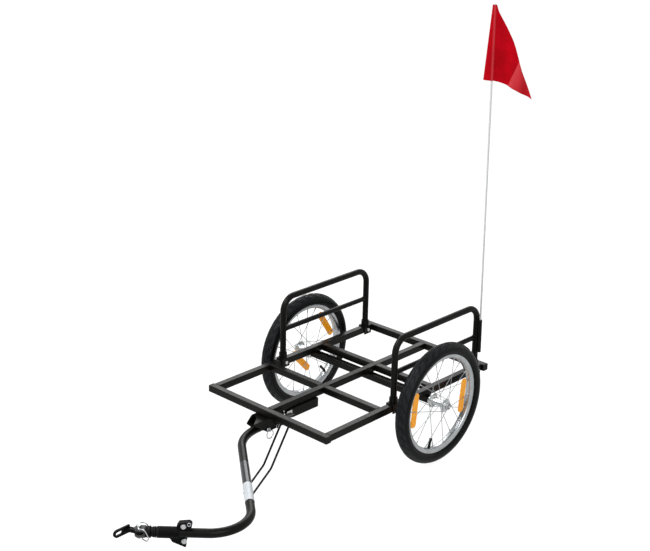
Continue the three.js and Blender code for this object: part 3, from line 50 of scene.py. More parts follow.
# Sizes that several pieces share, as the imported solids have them
SKIN = 0.05
SEAT_GAP = 0.3
TUBE = 22.0
TRACK = 572.0
AXLE_HEIGHT = 194.0
BED_BOTTOM = AXLE_HEIGHT + TUBE / 2 + SEAT_GAP
BED_MIDDLE = BED_BOTTOM + TUBE / 2
BED_TOP = BED_BOTTOM + TUBE
RAIL_Y = 234.0
HOOP_FRONT = 155.5
HOOP_REAR = -240.0
HOOP_RADIUS = 10.0
TOW_Z = 170.0
RECEIVER_Y = -14.0
PIVOT_X = 426.0
HITCH_X = 463.0
TOW_CORNERS = [(405, RECEIVER_Y), (549.4, RECEIVER_Y), (897, 409)]
GRIP = (998, 297)
COUPLER_TURN = atan2(GRIP[1] - TOW_CORNERS[-1][1], GRIP[0] - TOW_CORNERS[-1][0])
YOKE_PIN_X = 143
SLEEVE_RADIUS = 6.0
SLEEVE_Z = 280
FLAG_LEAN = radians(1.35)

# Turned profiles start and end this far from the axis where they are solid
ON_AXIS = 0.0001

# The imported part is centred, so its left wheel gives the way from the drawing's frame to its own
wheel_centre = next(joint["pos_m"] for joint in frame["joints"] if joint["name"] == "wheel_left_spin")
SHIFT = Vector((wheel_centre[0], wheel_centre[1] - TRACK / 2000, 0))


def at(x, y, z):
    """A point in metres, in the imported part's frame."""
    return Vector((x, y, z)) / 1000 + SHIFT


def turned(angle, axis):
    return Matrix.Rotation(angle, 4, axis)


def moved(place):
    return Matrix.Translation(place)


def wheel_place(side, turn=0.0):
    """Frame of a wheel with y outwards, turned about its axle."""
    left = side == "left"
    centre = at(0, TRACK / 2 if left else -TRACK / 2, AXLE_HEIGHT)
    return moved(centre) @ turned(0 if left else pi, "Z") @ turned(-turn, "Y")


SOURCE = moved(SHIFT)
COUPLER = moved(at(*GRIP, TOW_Z)) @ turned(COUPLER_TURN, "Z")
MAST_Y = RAIL_Y + HOOP_RADIUS + SEAT_GAP + SLEEVE_RADIUS
MAST = moved(at(HOOP_REAR, MAST_Y, SLEEVE_Z)) @ turned(FLAG_LEAN, "Y")


# Materials
def srgb(*levels):
    """Linear colour with alpha, from display levels of 0 to 255."""
    shares = [level / 255 for level in levels]
    return (*(s / 12.92 if s <= 0.04045 else ((s + 0.055) / 1.055) ** 2.4 for s in shares), 1)


def add_node(tree, kind, inputs=None, **settings):
    """A shader node with its settings, and a link or a value for each input given."""
    node = tree.nodes.new("ShaderNode" + kind)
    for key, value in settings.items():
        setattr(node, key, value)
    for key, value in (inputs or {}).items():
        if isinstance(value, bpy.types.NodeSocket):
            tree.links.new(value, node.inputs[key])
        else:
            node.inputs[key].default_value = value
    return node


class Finish:
    """Builds one procedural material step by step."""

    def __init__(self, name, **values):
        self.material = bpy.data.materials.new(name)
        self.material.use_nodes = True
        self.tree = self.material.node_tree
        self.shader = self.tree.nodes["Principled BSDF"]
        for key, value in values.items():
            self.shader.inputs[key.replace("_", " ")].default_value = value
        self.coordinates = self.node("TexCoord").outputs["Object"]

    def node(self, kind, inputs=None, **settings):
        return add_node(self.tree, kind, inputs, **settings)

    def wire(self, socket, value):
        self.tree.links.new(value, self.shader.inputs[socket])

    def noise(self, scale, detail, roughness=0.55):
        inputs = {"Vector": self.coordinates, "Scale": scale, "Detail": detail, "Roughness": roughness}
        return self.node("TexNoise", inputs).outputs["Fac"]

    def ramp(self, factor, low, high, top=1.0):
        """0 below low, rising to top at high."""
        node = self.node("ValToRGB", {"Fac": factor})
        for element, position, level in zip(node.color_ramp.elements, (low, high), (0.0, top)):
            element.position = position
            element.color = (level, level, level, 1)
        return node.outputs["Color"]

    def mix(self, factor, first, second):
        return self.node("Mix", {0: factor, 6: first, 7: second}, data_type="RGBA").outputs[2]

    def math(self, operation, *values):
        return self.node("Math", dict(enumerate(values)), operation=operation).outputs[0]

    def span(self, value, start, end, first=0.0, last=1.0):
        """Maps start to end onto first to last, held at both ends."""
        inputs = {"Value": value, "From Min": start, "From Max": end, "To Min": first, "To Max": last}
        return self.node("MapRange", inputs).outputs["Result"]

    def edge(self, radius, low=0.02, high=0.25):
        """1 along convex edges, 0 on flats: where paint or plating wears, and where edges get a painted highlight.
        """
        normal = self.node("NewGeometry").outputs["Normal"]
        inputs = {0: self.soften(radius), 1: normal}
        dot = self.node("VectorMath", inputs, operation="DOT_PRODUCT").outputs["Value"]
        return self.span(self.math("SUBTRACT", 1.0, dot), low, high)

    def soften(self, radius):
        """Rounded look for the solids' sharp edges."""
        return self.node("Bevel", {"Radius": radius}, samples=4).outputs["Normal"]

    def bump(self, height, strength, distance, normal=None):
        inputs = {"Height": height, "Strength": strength, "Distance": distance}
        if normal is not None:
            inputs["Normal"] = normal
        return self.node("Bump", inputs).outputs["Normal"]

    def vary_roughness(self, noise, middle, reach):
        varied = self.math("ADD", self.math("MULTIPLY", noise, 2 * reach), middle - reach)
        self.wire("Roughness", varied)


def powder_coat(name, dark, light, roughness, soft=0.0012, gloss=0.18):
    """Powder coat: fine orange peel, slow tone changes, slightly paler edges, partly where the coat wears and
    partly a painted highlight.
    """
    f = Finish(name, Roughness=roughness, Specular_IOR_Level=gloss)
    base = f.mix(f.ramp(f.noise(9, 4), 0.3, 0.7), dark, light)
    # Paler edges: partly the coat wearing through, partly a painted highlight along the edges
    wear_and_highlight = f.math("MULTIPLY", f.edge(soft), f.ramp(f.noise(55, 5), 0.45, 0.7, top=0.8))
    worn_and_lit = (*(min(1, level * 2.6 + 0.01) for level in light[:3]), 1)
    f.wire("Base Color", f.mix(wear_and_highlight, base, worn_and_lit))
    f.vary_roughness(f.noise(30, 4), roughness, 0.09)
    f.wire("Normal", f.bump(f.noise(950, 2), 0.22, 0.0004, f.soften(soft)))
    return f.material


def moulded(name, dark, light, roughness, grain=1300, soft=0.0006):
    """Moulded plastic or rubber with a fine grain."""
    f = Finish(name, Roughness=roughness, Specular_IOR_Level=0.18)
    f.wire("Base Color", f.mix(f.ramp(f.noise(14, 4), 0.3, 0.7), dark, light))
    f.vary_roughness(f.noise(60, 3), roughness, 0.08)
    f.wire("Normal", f.bump(f.noise(grain, 2), 0.2, 0.0003, f.soften(soft)))
    return f.material


def plated(name, dark, light, roughness, soft=0.0005, dull=0.12):
    """Bright metal: faint marks, dull patches, soft edges."""
    f = Finish(name, Roughness=roughness, Metallic=1.0)
    f.wire("Base Color", f.mix(f.ramp(f.noise(24, 5, 0.6), 0.3, 0.72), dark, light))
    f.vary_roughness(f.noise(90, 4, 0.7), roughness, dull)
    f.wire("Normal", f.bump(f.noise(700, 3, 0.7), 0.05, 0.0002, f.soften(soft)))
    return f.material


def tyre_rubber():
    """Rubber with mould bloom, a fine grain, block tops paler from wear and a painted highlight, painted shade in
    the grooves, and wall edges paler from dust and a painted edge highlight.

    The map's first value is 1 in the tread, and its second is the groove's share of the full depth.
    """
    f = Finish("tyre_rubber", Roughness=0.5, Specular_IOR_Level=0.15)
    zone = f.node("SeparateXYZ", {"Vector": f.node("UVMap").outputs["UV"]}).outputs
    # Block tops get a paler colour, partly wear and partly a painted highlight; the grooves keep the dark wall
    # colour as painted shade
    block = f.math("MULTIPLY", zone["X"], f.math("SUBTRACT", 1.0, zone["Y"]))
    walls = f.mix(f.ramp(f.noise(18, 5, 0.6), 0.35, 0.75), srgb(5, 6, 6), srgb(12, 13, 14))
    worn_and_lit = f.mix(f.ramp(f.noise(60, 4, 0.6), 0.35, 0.75), srgb(22, 24, 26), srgb(40, 43, 45))
    # Paler wall edges: dust, and a painted edge highlight
    dust_and_highlight = f.mix(f.math("MULTIPLY", f.edge(0.0016, 0.01, 0.12), 0.8), walls, srgb(62, 66, 68))
    f.wire("Base Color", f.mix(block, dust_and_highlight, worn_and_lit))
    f.vary_roughness(f.noise(40, 4), 0.4, 0.1)
    f.wire("Normal", f.bump(f.noise(800, 3), 0.3, 0.0004))
    return f.material


def cloth_red():
    """Woven nylon: a fine weave, a painted sheen over the pole and a painted highlight on the side beyond the
    tip's fold.

    The map holds the place on the cloth in centimetres, outwards from the pole and up from the hem.
    """
    f = Finish("flag_nylon", Roughness=0.6, Specular_IOR_Level=0.05)
    uv = f.node("UVMap").outputs["UV"]
    threads = {"Vector": uv, "Scale": 62.0, "Distortion": 0.3, "Detail": 1.0}
    along, across = (f.node("TexWave", threads, bands_direction=axis).outputs["Fac"] for axis in "XY")
    weave = f.math("MULTIPLY", along, across)
    red = f.mix(f.ramp(f.noise(22, 4), 0.3, 0.7), srgb(166, 0, 14), srgb(192, 0, 22))
    red = f.mix(f.math("MULTIPLY", weave, 0.14), red, srgb(132, 0, 10))
    place = f.node("SeparateXYZ", {"Vector": uv}).outputs
    side, rise = place["X"], place["Y"]
    # Painted highlight: a paler band along the pole, and a paler lit side past the tip's fold
    painted_pole_sheen = f.span(f.math("ABSOLUTE", f.math("SUBTRACT", side, 0.12)), 0.05, 0.42, 0.62, 0.0)
    past_fold = f.math("SUBTRACT", side, f.math("MULTIPLY_ADD", rise, 0.42, 5.36))
    near = f.span(past_fold, -0.05, 0.22)
    far = f.span(past_fold, 0.4, 5.2, 0.62, 0.12)
    pale = f.math("MAXIMUM", painted_pole_sheen, f.math("MULTIPLY", near, far))
    f.wire("Base Color", f.mix(pale, red, srgb(222, 78, 84)))
    f.vary_roughness(f.noise(45, 4), 0.59, 0.09)
    crease = f.bump(f.noise(38, 4, 0.6), 0.16, 0.004)
    f.wire("Normal", f.bump(weave, 0.3, 0.0003, crease))
    return f.material


def amber_lens():
    """Clear amber plastic over rows of small corner prisms, which the map counts, with painted glints on some
    prisms and a faint painted glow.
    """
    # The emission is a painted glow standing in for the light the lens returns
    f = Finish(
        "amber_lens", Roughness=0.26, Specular_IOR_Level=0.3, Coat_Weight=0.12, Coat_Roughness=0.12,
        Emission_Color=srgb(255, 150, 0), Emission_Strength=0.16)
    uv = f.node("UVMap").outputs["UV"]
    squares = {"Vector": uv, "Scale": 1.0, "Randomness": 0.0}
    cells = f.node("TexVoronoi", squares, feature="F1", distance="CHEBYCHEV").outputs
    facet = cells["Distance"]
    # Painted glints: some prisms get a paler amber
    glints = {"Vector": cells["Position"], "Scale": 3.7, "Detail": 0.0}
    sparkle = f.node("TexNoise", glints).outputs["Fac"]
    base = f.mix(f.ramp(sparkle, 0.35, 0.65), srgb(255, 156, 4), srgb(255, 200, 56))
    f.wire("Base Color", f.mix(f.math("MULTIPLY", facet, 0.55), base, srgb(232, 122, 0)))
    f.vary_roughness(f.noise(80, 3), 0.2, 0.06)
    f.wire("Normal", f.bump(facet, 0.3, 0.0005))
    return f.material


def vinyl(name, dark, light, roughness):
    """Smooth film or rod: faint wrinkles and slow changes of tone."""
    f = Finish(name, Roughness=roughness)
    f.wire("Base Color", f.mix(f.ramp(f.noise(60, 5, 0.65), 0.35, 0.75), dark, light))
    f.vary_roughness(f.noise(120, 3), roughness, 0.07)
    f.wire("Normal", f.bump(f.noise(160, 3), 0.12, 0.0004))
    return f.material


FRAME = powder_coat("powder_black", srgb(9, 8, 7), srgb(16, 15, 13), 0.34, gloss=0.15)
STAND = powder_coat("powder_black_wire", srgb(9, 9, 9), srgb(16, 16, 16), 0.32, soft=0.0008)
CLAMP = powder_coat("clamp_black", srgb(4, 4, 4), srgb(9, 9, 9), 0.42, soft=0.0010, gloss=0.08)
PLASTIC = moulded("cap_plastic", srgb(7, 7, 7), srgb(13, 13, 13), 0.46)
RUBBER = moulded("joint_rubber", srgb(6, 6, 6), srgb(12, 12, 12), 0.56, grain=900)
TYRE = tyre_rubber()
RIM = plated("rim_alloy", srgb(184, 188, 190), srgb(210, 213, 215), 0.26, soft=0.0006, dull=0.04)
SPOKE = plated("spoke_steel", srgb(160, 164, 166), srgb(190, 194, 196), 0.24, dull=0.05)
HUB = plated("hub_steel", srgb(218, 222, 222), srgb(238, 241, 241), 0.3, dull=0.05)
CHROME = plated("bright_chrome", srgb(186, 190, 192), srgb(222, 224, 226), 0.15, dull=0.06)
ZINC = plated("zinc_plate", srgb(218, 220, 216), srgb(242, 243, 239), 0.34)
CAST = powder_coat("cast_grey", srgb(62, 62, 61), srgb(92, 92, 90), 0.4, soft=0.0010)
LENS = amber_lens()
CLOTH = cloth_red()
POLE = vinyl("pole_fibreglass", srgb(212, 215, 214), srgb(230, 232, 231), 0.36)
BAND = vinyl("blank_band", srgb(198, 204, 209), srgb(218, 223, 227), 0.36)
FILM = vinyl("clear_film", srgb(24, 27, 31), srgb(40, 44, 50), 0.12)

FINISH_OF_SLOT = dict(
    frame=FRAME, plastic=PLASTIC, tyre=TYRE, rim=RIM, spokes=SPOKE, chrome=CHROME, zinc=ZINC, cast=CAST,
    rubber=RUBBER, reflector=LENS, flag=CLOTH, pole=POLE, band=BAND)


# Mesh helpers
def circle(count):
    """Cosine and sine at even steps round a circle."""
    turns = [2 * pi * k / count for k in range(count)]
    return [(cos(turn), sin(turn)) for turn in turns]


def grid(rows, columns, join_rows=False, join_columns=True):
    """Faces between rows of points. Joined rows or columns close on themselves."""
    faces = []
    for row in range(rows if join_rows else rows - 1):
        below = row * columns
        above = (row + 1) % rows * columns
        for k in range(columns if join_columns else columns - 1):
            after = (k + 1) % columns
            faces.append([below + k, below + after, above + after, above + k])
    return faces


def capped(rows, columns):
    """Faces of a closed form: rings of points with a face over each end."""
    first = list(range(columns))[::-1]
    last = list(range((rows - 1) * columns, rows * columns))
    return grid(rows, columns) + [first, last]


def levels_through(low, high, cut, inset):
    """Heights through a plate with both faces inset, each with its inset."""
    return [(low, inset), (low + cut, 0), (high - cut, 0), (high, inset)]


class Shape:
    """Collects the points and faces of one piece, in millimetres."""

    def __init__(self):
        self.points = []
        self.faces = []

    def add(self, points, faces, matrix=None):
        first = len(self.points)
        self.points += [matrix @ Vector(p) if matrix else Vector(p) for p in points]
        self.faces += [[first + i for i in face] for face in faces]
        return self

    def lathe(self, profile, sides, axis="y", closed=False, matrix=None):
        """(radius, height) profile turned about an axis; a closed profile makes a ring."""
        points = []
        for c, s in circle(sides):
            for radius, height in profile:
                x, y = radius * c, radius * s
                points.append({"x": (height, x, y), "y": (x, height, y), "z": (x, y, height)}[axis])
        return self.add(points, grid(sides, len(profile), True, closed), matrix)

    def sweep(self, path, radius, sides, start=None):
        """Round section, of one radius or one for each point, carried along a path without twisting."""
        path = [Vector(p) for p in path]
        radii = radius if hasattr(radius, "__len__") else [radius] * len(path)
        last = len(path) - 1
        tangents = [(path[min(last, i + 1)] - path[max(0, i - 1)]).normalized() for i in range(last + 1)]
        normal = Vector(start) if start else tangents[0].orthogonal()
        points = []
        for centre, tangent, size in zip(path, tangents, radii):
            normal = (normal - tangent * normal.dot(tangent)).normalized()
            other = tangent.cross(normal)
            points += [centre + (normal * c + other * s) * size for c, s in circle(sides)]
        return self.add(points, capped(len(path), sides))

    def ring(self, radius, wire, count, sides, matrix):
        """Wire ring about the y axis."""
        points = []
        for c, s in circle(count):
            for out, up in circle(sides):
                reach = radius + wire * out
                points.append((reach * c, wire * up, reach * s))
        return self.add(points, grid(count, sides, True), matrix)

    def weld(self, centre, axis, radius, size, seed):
        """Uneven weld bead round a tube."""
        axis = Vector(axis)
        first = axis.orthogonal().normalized()
        second = axis.cross(first)
        count, sides = 40, 8
        points = []
        for k in range(count):
            turn = 2 * pi * k / count
            out = first * cos(turn) + second * sin(turn)
            local = size * (1 + 0.16 * sin(9 * turn + seed) + 0.07 * sin(23 * turn + 2 * seed))
            for c, s in circle(sides):
                points.append(Vector(centre) + out * (radius + 0.9 * local * c) + axis * local * s)
        return self.add(points, grid(count, sides, True))

    def build(self, name, place, material, body, slot, node=None, sharp=40, uvs=None):
        """Makes the piece at its place in metres, riding on a body and standing for a CAD node."""
        mesh = bpy.data.meshes.new(name)
        mesh.from_pydata([tuple(place @ (p / 1000)) for p in self.points], [], self.faces)
        if uvs:
            layer = mesh.uv_layers.new(name="UVMap")
            for loop in mesh.loops:
                layer.data[loop.index].uv = uvs[loop.vertex_index]
        mesh.validate()
        bm = bmesh.new()
        bm.from_mesh(mesh)
        bmesh.ops.recalc_face_normals(bm, faces=bm.faces)
        bm.to_mesh(mesh)
        bm.free()
        mesh.shade_smooth()
        mesh.set_sharp_from_angle(angle=radians(sharp))
        obj = link(name, mesh)
        mesh.materials.append(material)
        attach(obj, body)
        if node:
            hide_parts(node)
        return obj


def link(name, data):
    """A new object in the scene."""
    obj = bpy.data.objects.new(name, data)
    scene.collection.objects.link(obj)
    return obj


def bent(corners, bends, step=7):
    """Points along a polyline whose inner corners are round, with a point every few degrees."""
    corners = [Vector(c) for c in corners]
    path = [corners[0]]
    for before, corner, after, bend in zip(corners, corners[1:], corners[2:], bends):
        arriving = (corner - before).normalized()
        leaving = (after - corner).normalized()
        angle = arriving.angle(leaving)
        axis = arriving.cross(leaving).normalized()
        inward = axis.cross(arriving)
        centre = corner - arriving * bend * tan(angle / 2) + inward * bend
        count = max(3, ceil(angle / radians(step)))
        for k in range(count + 1):
            path.append(centre - (Matrix.Rotation(angle * k / count, 3, axis) @ inward) * bend)
    return path + [corners[-1]]


# Camera and light
AZIMUTH = 0.7524
ELEVATION = 0.3543
ROLL = 0.0181
CAMERA_DISTANCE = 3.95396
CAMERA_TARGET = (217.96, 3.20, 589.89)
FOCAL_PIXELS = 1327.0
PHOTO_WIDTH = 650
SENSOR_WIDTH = 36
FLOOR_RADIUS = 30
SEEN_GLOW = 1.2
MIRRORED_GLOW = 0.62
GLOW_SHARE = 0.78
WORLD_LEVEL = 0.36
WORLD_GLOSSY_EXTRA = 0.3
WHITE = (1, 1, 1, 1)
LAMP_TARGET = (0, 0, 0.3)

# Name, place and size in metres, power in watts
LAMPS = [
    ("key", (1.6, -1.4, 3.6), 2.2, 105),
    ("fill", (1.6, 3.0, 2.6), 2.6, 40),
    ("back", (-2.6, -2.3, 2.3), 2.6, 46),
]


def add_camera():
    level = cos(ELEVATION)
    back = Vector((level * cos(AZIMUTH), level * sin(AZIMUTH), sin(ELEVATION)))
    right = (-back).cross(Vector((0, 0, 1))).normalized()
    up = right.cross(-back)
    rolled_right = right * cos(ROLL) + up * sin(ROLL)
    rolled_up = up * cos(ROLL) - right * sin(ROLL)
    data = bpy.data.cameras.new("camera")
    data.sensor_width = SENSOR_WIDTH
    data.lens = FOCAL_PIXELS / PHOTO_WIDTH * SENSOR_WIDTH
    data.clip_end = 80
    camera = link("camera", data)
    turn = Matrix((rolled_right, rolled_up, back)).transposed().to_4x4()
    camera.matrix_world = moved(at(*CAMERA_TARGET) + back * CAMERA_DISTANCE) @ turn
    scene.camera = camera


def add_lamp(name, place, size, watts):
    data = bpy.data.lights.new(name, "AREA")
    data.shape = "DISK"
    data.size = size
    data.energy = watts
    lamp = link(name, data)
    lamp.location = place
    lamp.visible_camera = False
    lamp.rotation_euler = (Vector(LAMP_TARGET) - Vector(place)).to_track_quat("-Z", "Y").to_euler()


def add_floor():
    """Pale floor that keeps the shadow but reads white to the camera and in reflections."""
    f = Finish("pale_floor", Roughness=0.9)
    f.wire("Base Color", f.mix(f.noise(0.6, 2), (0.86, 0.86, 0.86, 1), (0.9, 0.9, 0.9, 1)))
    rays = f.node("LightPath").outputs
    mirrored = f.math("MAXIMUM", rays["Is Glossy Ray"], rays["Is Transmission Ray"])
    direct = f.math("MULTIPLY", rays["Is Camera Ray"], SEEN_GLOW)
    strength = f.math("ADD", direct, f.math("MULTIPLY", mirrored, MIRRORED_GLOW))
    glow = f.node("Emission", {"Color": WHITE, "Strength": strength}).outputs[0]
    share = f.math("MULTIPLY", f.math("MAXIMUM", rays["Is Camera Ray"], mirrored), GLOW_SHARE)
    mixed = f.node("MixShader", {0: share, 1: f.shader.outputs[0], 2: glow}).outputs[0]
    f.tree.links.new(mixed, f.tree.nodes["Material Output"].inputs["Surface"])
    bm = bmesh.new()
    bmesh.ops.create_circle(bm, cap_ends=True, segments=96, radius=FLOOR_RADIUS)
    mesh = bpy.data.meshes.new("floor")
    bm.to_mesh(mesh)
    bm.free()
    mesh.materials.append(f.material)
    link("floor", mesh)


def add_world():
    """Even light, a little brighter in reflections and white to the camera."""
    world = bpy.data.worlds.new("studio")
    world.use_nodes = True
    scene.world = world
    tree = world.node_tree
    tree.nodes.clear()
    rays = add_node(tree, "LightPath").outputs
    direct = {0: rays["Is Camera Ray"], 1: rays["Is Transmission Ray"]}
    seen = add_node(tree, "Math", direct, operation="MAXIMUM").outputs[0]
    levels = {0: rays["Is Glossy Ray"], 1: WORLD_GLOSSY_EXTRA, 2: WORLD_LEVEL}
    level = add_node(tree, "Math", levels, operation="MULTIPLY_ADD").outputs[0]
    soft = add_node(tree, "Background", {"Color": WHITE, "Strength": level}).outputs[0]
    white = add_node(tree, "Background", {"Color": WHITE, "Strength": 1.0}).outputs[0]
    mixed = add_node(tree, "MixShader", {0: seen, 1: soft, 2: white}).outputs[0]
    add_node(tree, "OutputWorld", {"Surface": mixed})


add_camera()
add_world()
add_floor()
for lamp in LAMPS:
    add_lamp(*lamp)
scene.view_settings.view_transform = "Standard"


# Tyres: (radius, y) points of the section, outer side first
TYRE_SIDES = 144
SECTION_CENTRE = 172.0
WALL_RADIUS = 21.6
WALL_RIB = 0.35
WALL_RIB_STEPS = (1, 3)
WALL_ANGLES = [118, 108, 98, 90, 82, 76, 70, 66]
TREAD_RADIUS = 21.9
TREAD_ANGLES = [60, 54, 47, 40, 33, 26, 19, 12, 9, 4, 0]
TREAD_SLOPE = radians(6)
TYRE_BEAD = [(153, 7.4), (153, 11.6), (159.9, 11.7)]
TYRE_INSIDE = [(155.5, -7.6), (160, -9.6), (166, -17.2), (172, -18.4), (182, -15.5), (190.2, 0)]
CENTRE_GROOVE = 2.4
BLOCK_GROOVE = 2.6
SHOULDER_GROOVE = 1.5


def mirrored(points):
    """The same (radius, y) points on the other side, in reverse order."""
    return [(radius, -y) for radius, y in reversed(points)]


def section_point(radius, degrees):
    return SECTION_CENTRE + radius * cos(radians(degrees)), radius * sin(radians(degrees))


def groove_depth(step, k):
    """Depth of the tread at a step from the crown's middle and the k-th place round the tyre."""
    if step == 2:
        return CENTRE_GROOVE
    if 3 <= step <= 9 and (k + step // 2) % 4 == 0:
        return BLOCK_GROOVE
    if step == 6:
        return SHOULDER_GROOVE
    return 0.0


def add_tyre(side):
    """Round tyre: crown with a centre rib, angled side blocks, ribs on the walls and beads."""
    wall = [section_point(WALL_RADIUS + (WALL_RIB if i in WALL_RIB_STEPS else 0), angle)
            for i, angle in enumerate(WALL_ANGLES)]
    tread = [section_point(TREAD_RADIUS, angle) for angle in TREAD_ANGLES]
    outer = TYRE_BEAD + wall + tread
    section = outer + mirrored(outer[:-1]) + TYRE_INSIDE + mirrored(TYRE_INSIDE[:-1])
    crown = len(outer) - 1
    points, uvs = [], []
    for k, (c, s) in enumerate(circle(TYRE_SIDES)):
        for j, (radius, y) in enumerate(section):
            step = abs(j - crown)
            in_tread = step < len(TREAD_ANGLES)
            depth = groove_depth(step, k) if in_tread else 0.0
            radius -= depth * cos(TREAD_SLOPE * step)
            points.append((radius * c, y, radius * s))
            uvs.append((1 if in_tread else 0, depth / BLOCK_GROOVE))
    shape = Shape().add(points, grid(TYRE_SIDES, len(section), True))
    shape.build(
        f"tyre_rubber_{side}", wheel_place(side), TYRE, f"wheel_{side}", "tyre", f"tyre_{side}", 32, uvs)


# Rims, hubs and spokes
SPOKES = 10
CROSSINGS = 2
SPOKE_CIRCLE = 18.5
FLANGE_Y = 24
SPOKE_LEAD = 2.1
SPOKE_RADIUS = 0.95
RIM_OFFSET = 2.5
RIM_INNER_RADIUS = 144.0
NIPPLE_SEAT = 143.4
ELBOW_DEPTHS = (-2.4, 0, 1.5)
SPOKE_STEPS = (1.8, 8, 30)
RIM_HALF = [
    (144.4, 0), (144.6, 5), (145.4, 8), (147.4, 10.6), (150.4, 12.4), (153, 13.1), (157.4, 13.3),
    (158.6, 13.4), (159.3, 12.9), (159.4, 12.2), (158.8, 11.7), (157.6, 11.6), (153.6, 11.9), (152.5, 11.4),
    (152.4, 9.4), (151.6, 8.6), (149.7, 5), (149.5, 0)]
EYELET = [(1.9, 0.9), (2.7, 0.8), (2.9, 0.5), (2.6, 0.2), (2.1, 0.1), (1.9, 0.3)]
HUB_REACH = 35.7
HUB_INNER_END = [(6.5, -HUB_REACH), (11, -HUB_REACH), (12, -35), (12, -27.2)]
HUB_HALF = [
    (10.5, 0), (10.6, 8), (11.2, 16.5), (12, 20.2), (15, 22.2), (21.2, 22.4), (22, 23.1),
    (22, 24.9), (21.2, 25.6), (13.2, 25.9)]
HUB_OUTER_END = [(12, 27.2), (12, 32.3), (11.3, 33), (6.5, 33)]
DUST_CAP = [(12.05, 29.4), (14.8, 29.6), (15.6, 30.2), (15.6, 31.2), (14.8, 31.8), (12.05, 32)]
SPOKE_HEAD = [(0.1, 0), (1.6, 0), (1.9, 0.4), (1.6, 1), (0.1, 1.2)]
NIPPLE_REACHES = [-12.4, -12, -7.5, -3, -1, 0.2]
NIPPLE_RADII = [1.2, 1.8, 1.8, 1.8, 2.3, 2.3]


def spoke_ends(flange, k):
    """Where a spoke leaves the flange and meets the rim, and the side of the flange that it lies on."""
    pitch = 2 * pi / SPOKES
    lead = 1 if k % 2 == 0 else -1
    hub = pitch * (k + 0.5 - flange * 0.25)
    tip = hub + lead * CROSSINGS * pitch
    y = flange * (FLANGE_Y + lead * SPOKE_LEAD)
    head = Vector((SPOKE_CIRCLE * cos(hub), y, SPOKE_CIRCLE * sin(hub)))
    end = Vector((NIPPLE_SEAT * cos(tip), flange * RIM_OFFSET, NIPPLE_SEAT * sin(tip)))
    return head, end, lead


def add_rim(side, valve_turn):
    """Rim with hooked edges, a drop centre and eyelets."""
    shape = Shape().lathe(RIM_HALF + mirrored(RIM_HALF[1:-1]), 160, closed=True)
    for flange in (1, -1):
        for k in range(SPOKES):
            end = spoke_ends(flange, k)[1]
            radial = Vector((end.x, 0, end.z)).normalized()
            centre = radial * RIM_INNER_RADIUS + Vector((0, flange * RIM_OFFSET, 0))
            upright = radial.to_track_quat("Z", "Y").to_matrix().to_4x4()
            matrix = turned(-valve_turn, "Y") @ moved(centre) @ upright
            shape.lathe(EYELET, 12, "z", True, matrix)
    shape.build(f"rim_alloy_{side}", wheel_place(side), RIM, f"wheel_{side}", "rim", f"rim_{side}")


def add_hub(side, valve_turn):
    """Hub shell with its dust caps, laced spokes with bent heads, and nipples."""
    place = wheel_place(side, valve_turn)
    body = f"wheel_{side}"
    for name, sign in (("outer", 1), ("inner", -1)):
        cap = Shape().lathe([(radius, sign * y) for radius, y in DUST_CAP], 48, closed=True)
        cap.build(f"hub_seal_{side}_{name}", place, HUB, body, "spokes")
    section = HUB_INNER_END + mirrored(HUB_HALF[1:]) + HUB_HALF + HUB_OUTER_END
    hub = Shape().lathe(section, 64, closed=True)
    hub.build(f"hub_shell_{side}", place, HUB, body, "spokes", f"hub_and_spokes_{side}")
    spokes, nipples = Shape(), Shape()
    for flange in (1, -1):
        for k in range(SPOKES):
            head, end, lead = spoke_ends(flange, k)
            run = (end - head).normalized()
            elbow = [Vector((head.x, flange * (FLANGE_Y + lead * y), head.z)) for y in ELBOW_DEPTHS]
            elbow[-1] += run * 0.3
            path = elbow + [head + run * reach for reach in SPOKE_STEPS]
            spokes.sweep(path + [(head + end) / 2, end + run * NIPPLE_REACHES[1]], SPOKE_RADIUS, 10)
            flip = turned(pi if flange * lead > 0 else 0, "X")
            seat = moved(elbow[0] - Vector((0, flange * lead * 0.2, 0)))
            spokes.lathe(SPOKE_HEAD, 12, matrix=seat @ flip)
            nipples.sweep([end + run * reach for reach in NIPPLE_REACHES], NIPPLE_RADII, 10)
    spokes.build(f"spoke_set_{side}", place, SPOKE, body, "spokes", sharp=60)
    nipples.build(f"nipple_set_{side}", place, CHROME, body, "spokes", sharp=50)


# Valves, reflectors and quick-release axles
VALVE_TURNS = {"left": radians(-74), "right": radians(312)}
VALVE_STEM = [
    (ON_AXIS, 113.7), (3.2, 113.7), (4.2, 114.4), (4.5, 116), (4.5, 122.5), (4.2, 123), (3.6, 124),
    (4.2, 125), (4.3, 136), (4.6, 140.6), (4.6, 140.9), (4.9, 141.6), (4.9, 143.4), (3.2, 143.8),
    (3.2, 152), (ON_AXIS, 152.4)]
VALVE_RIBS = 14
VALVE_RIB_ENDS = (115, 122.2)
VALVE_RIB_RADIUS = 0.3
VALVE_CAP_RADIUS = 4.4

# Turn in degrees, radius and y of each reflector's middle
REFLECTORS = {"left": [(6.2, 117, 0.1), (186.6, 117, 0.1)], "right": [(34, 117, 0.1), (223.5, 42, -10)]}
LENS_HALF = 11.5
LENS_END_Z = 44.0
ROUNDNESS = 2.6
LENS_STEPS = 16
LENS_FACE = [(3.4, 2.1), (2.8, 2.2), (2.2, 2.62), (1.5, 2.5), (0.6, 1.9), (0, 1)]
PRISM_PITCH = 2.3

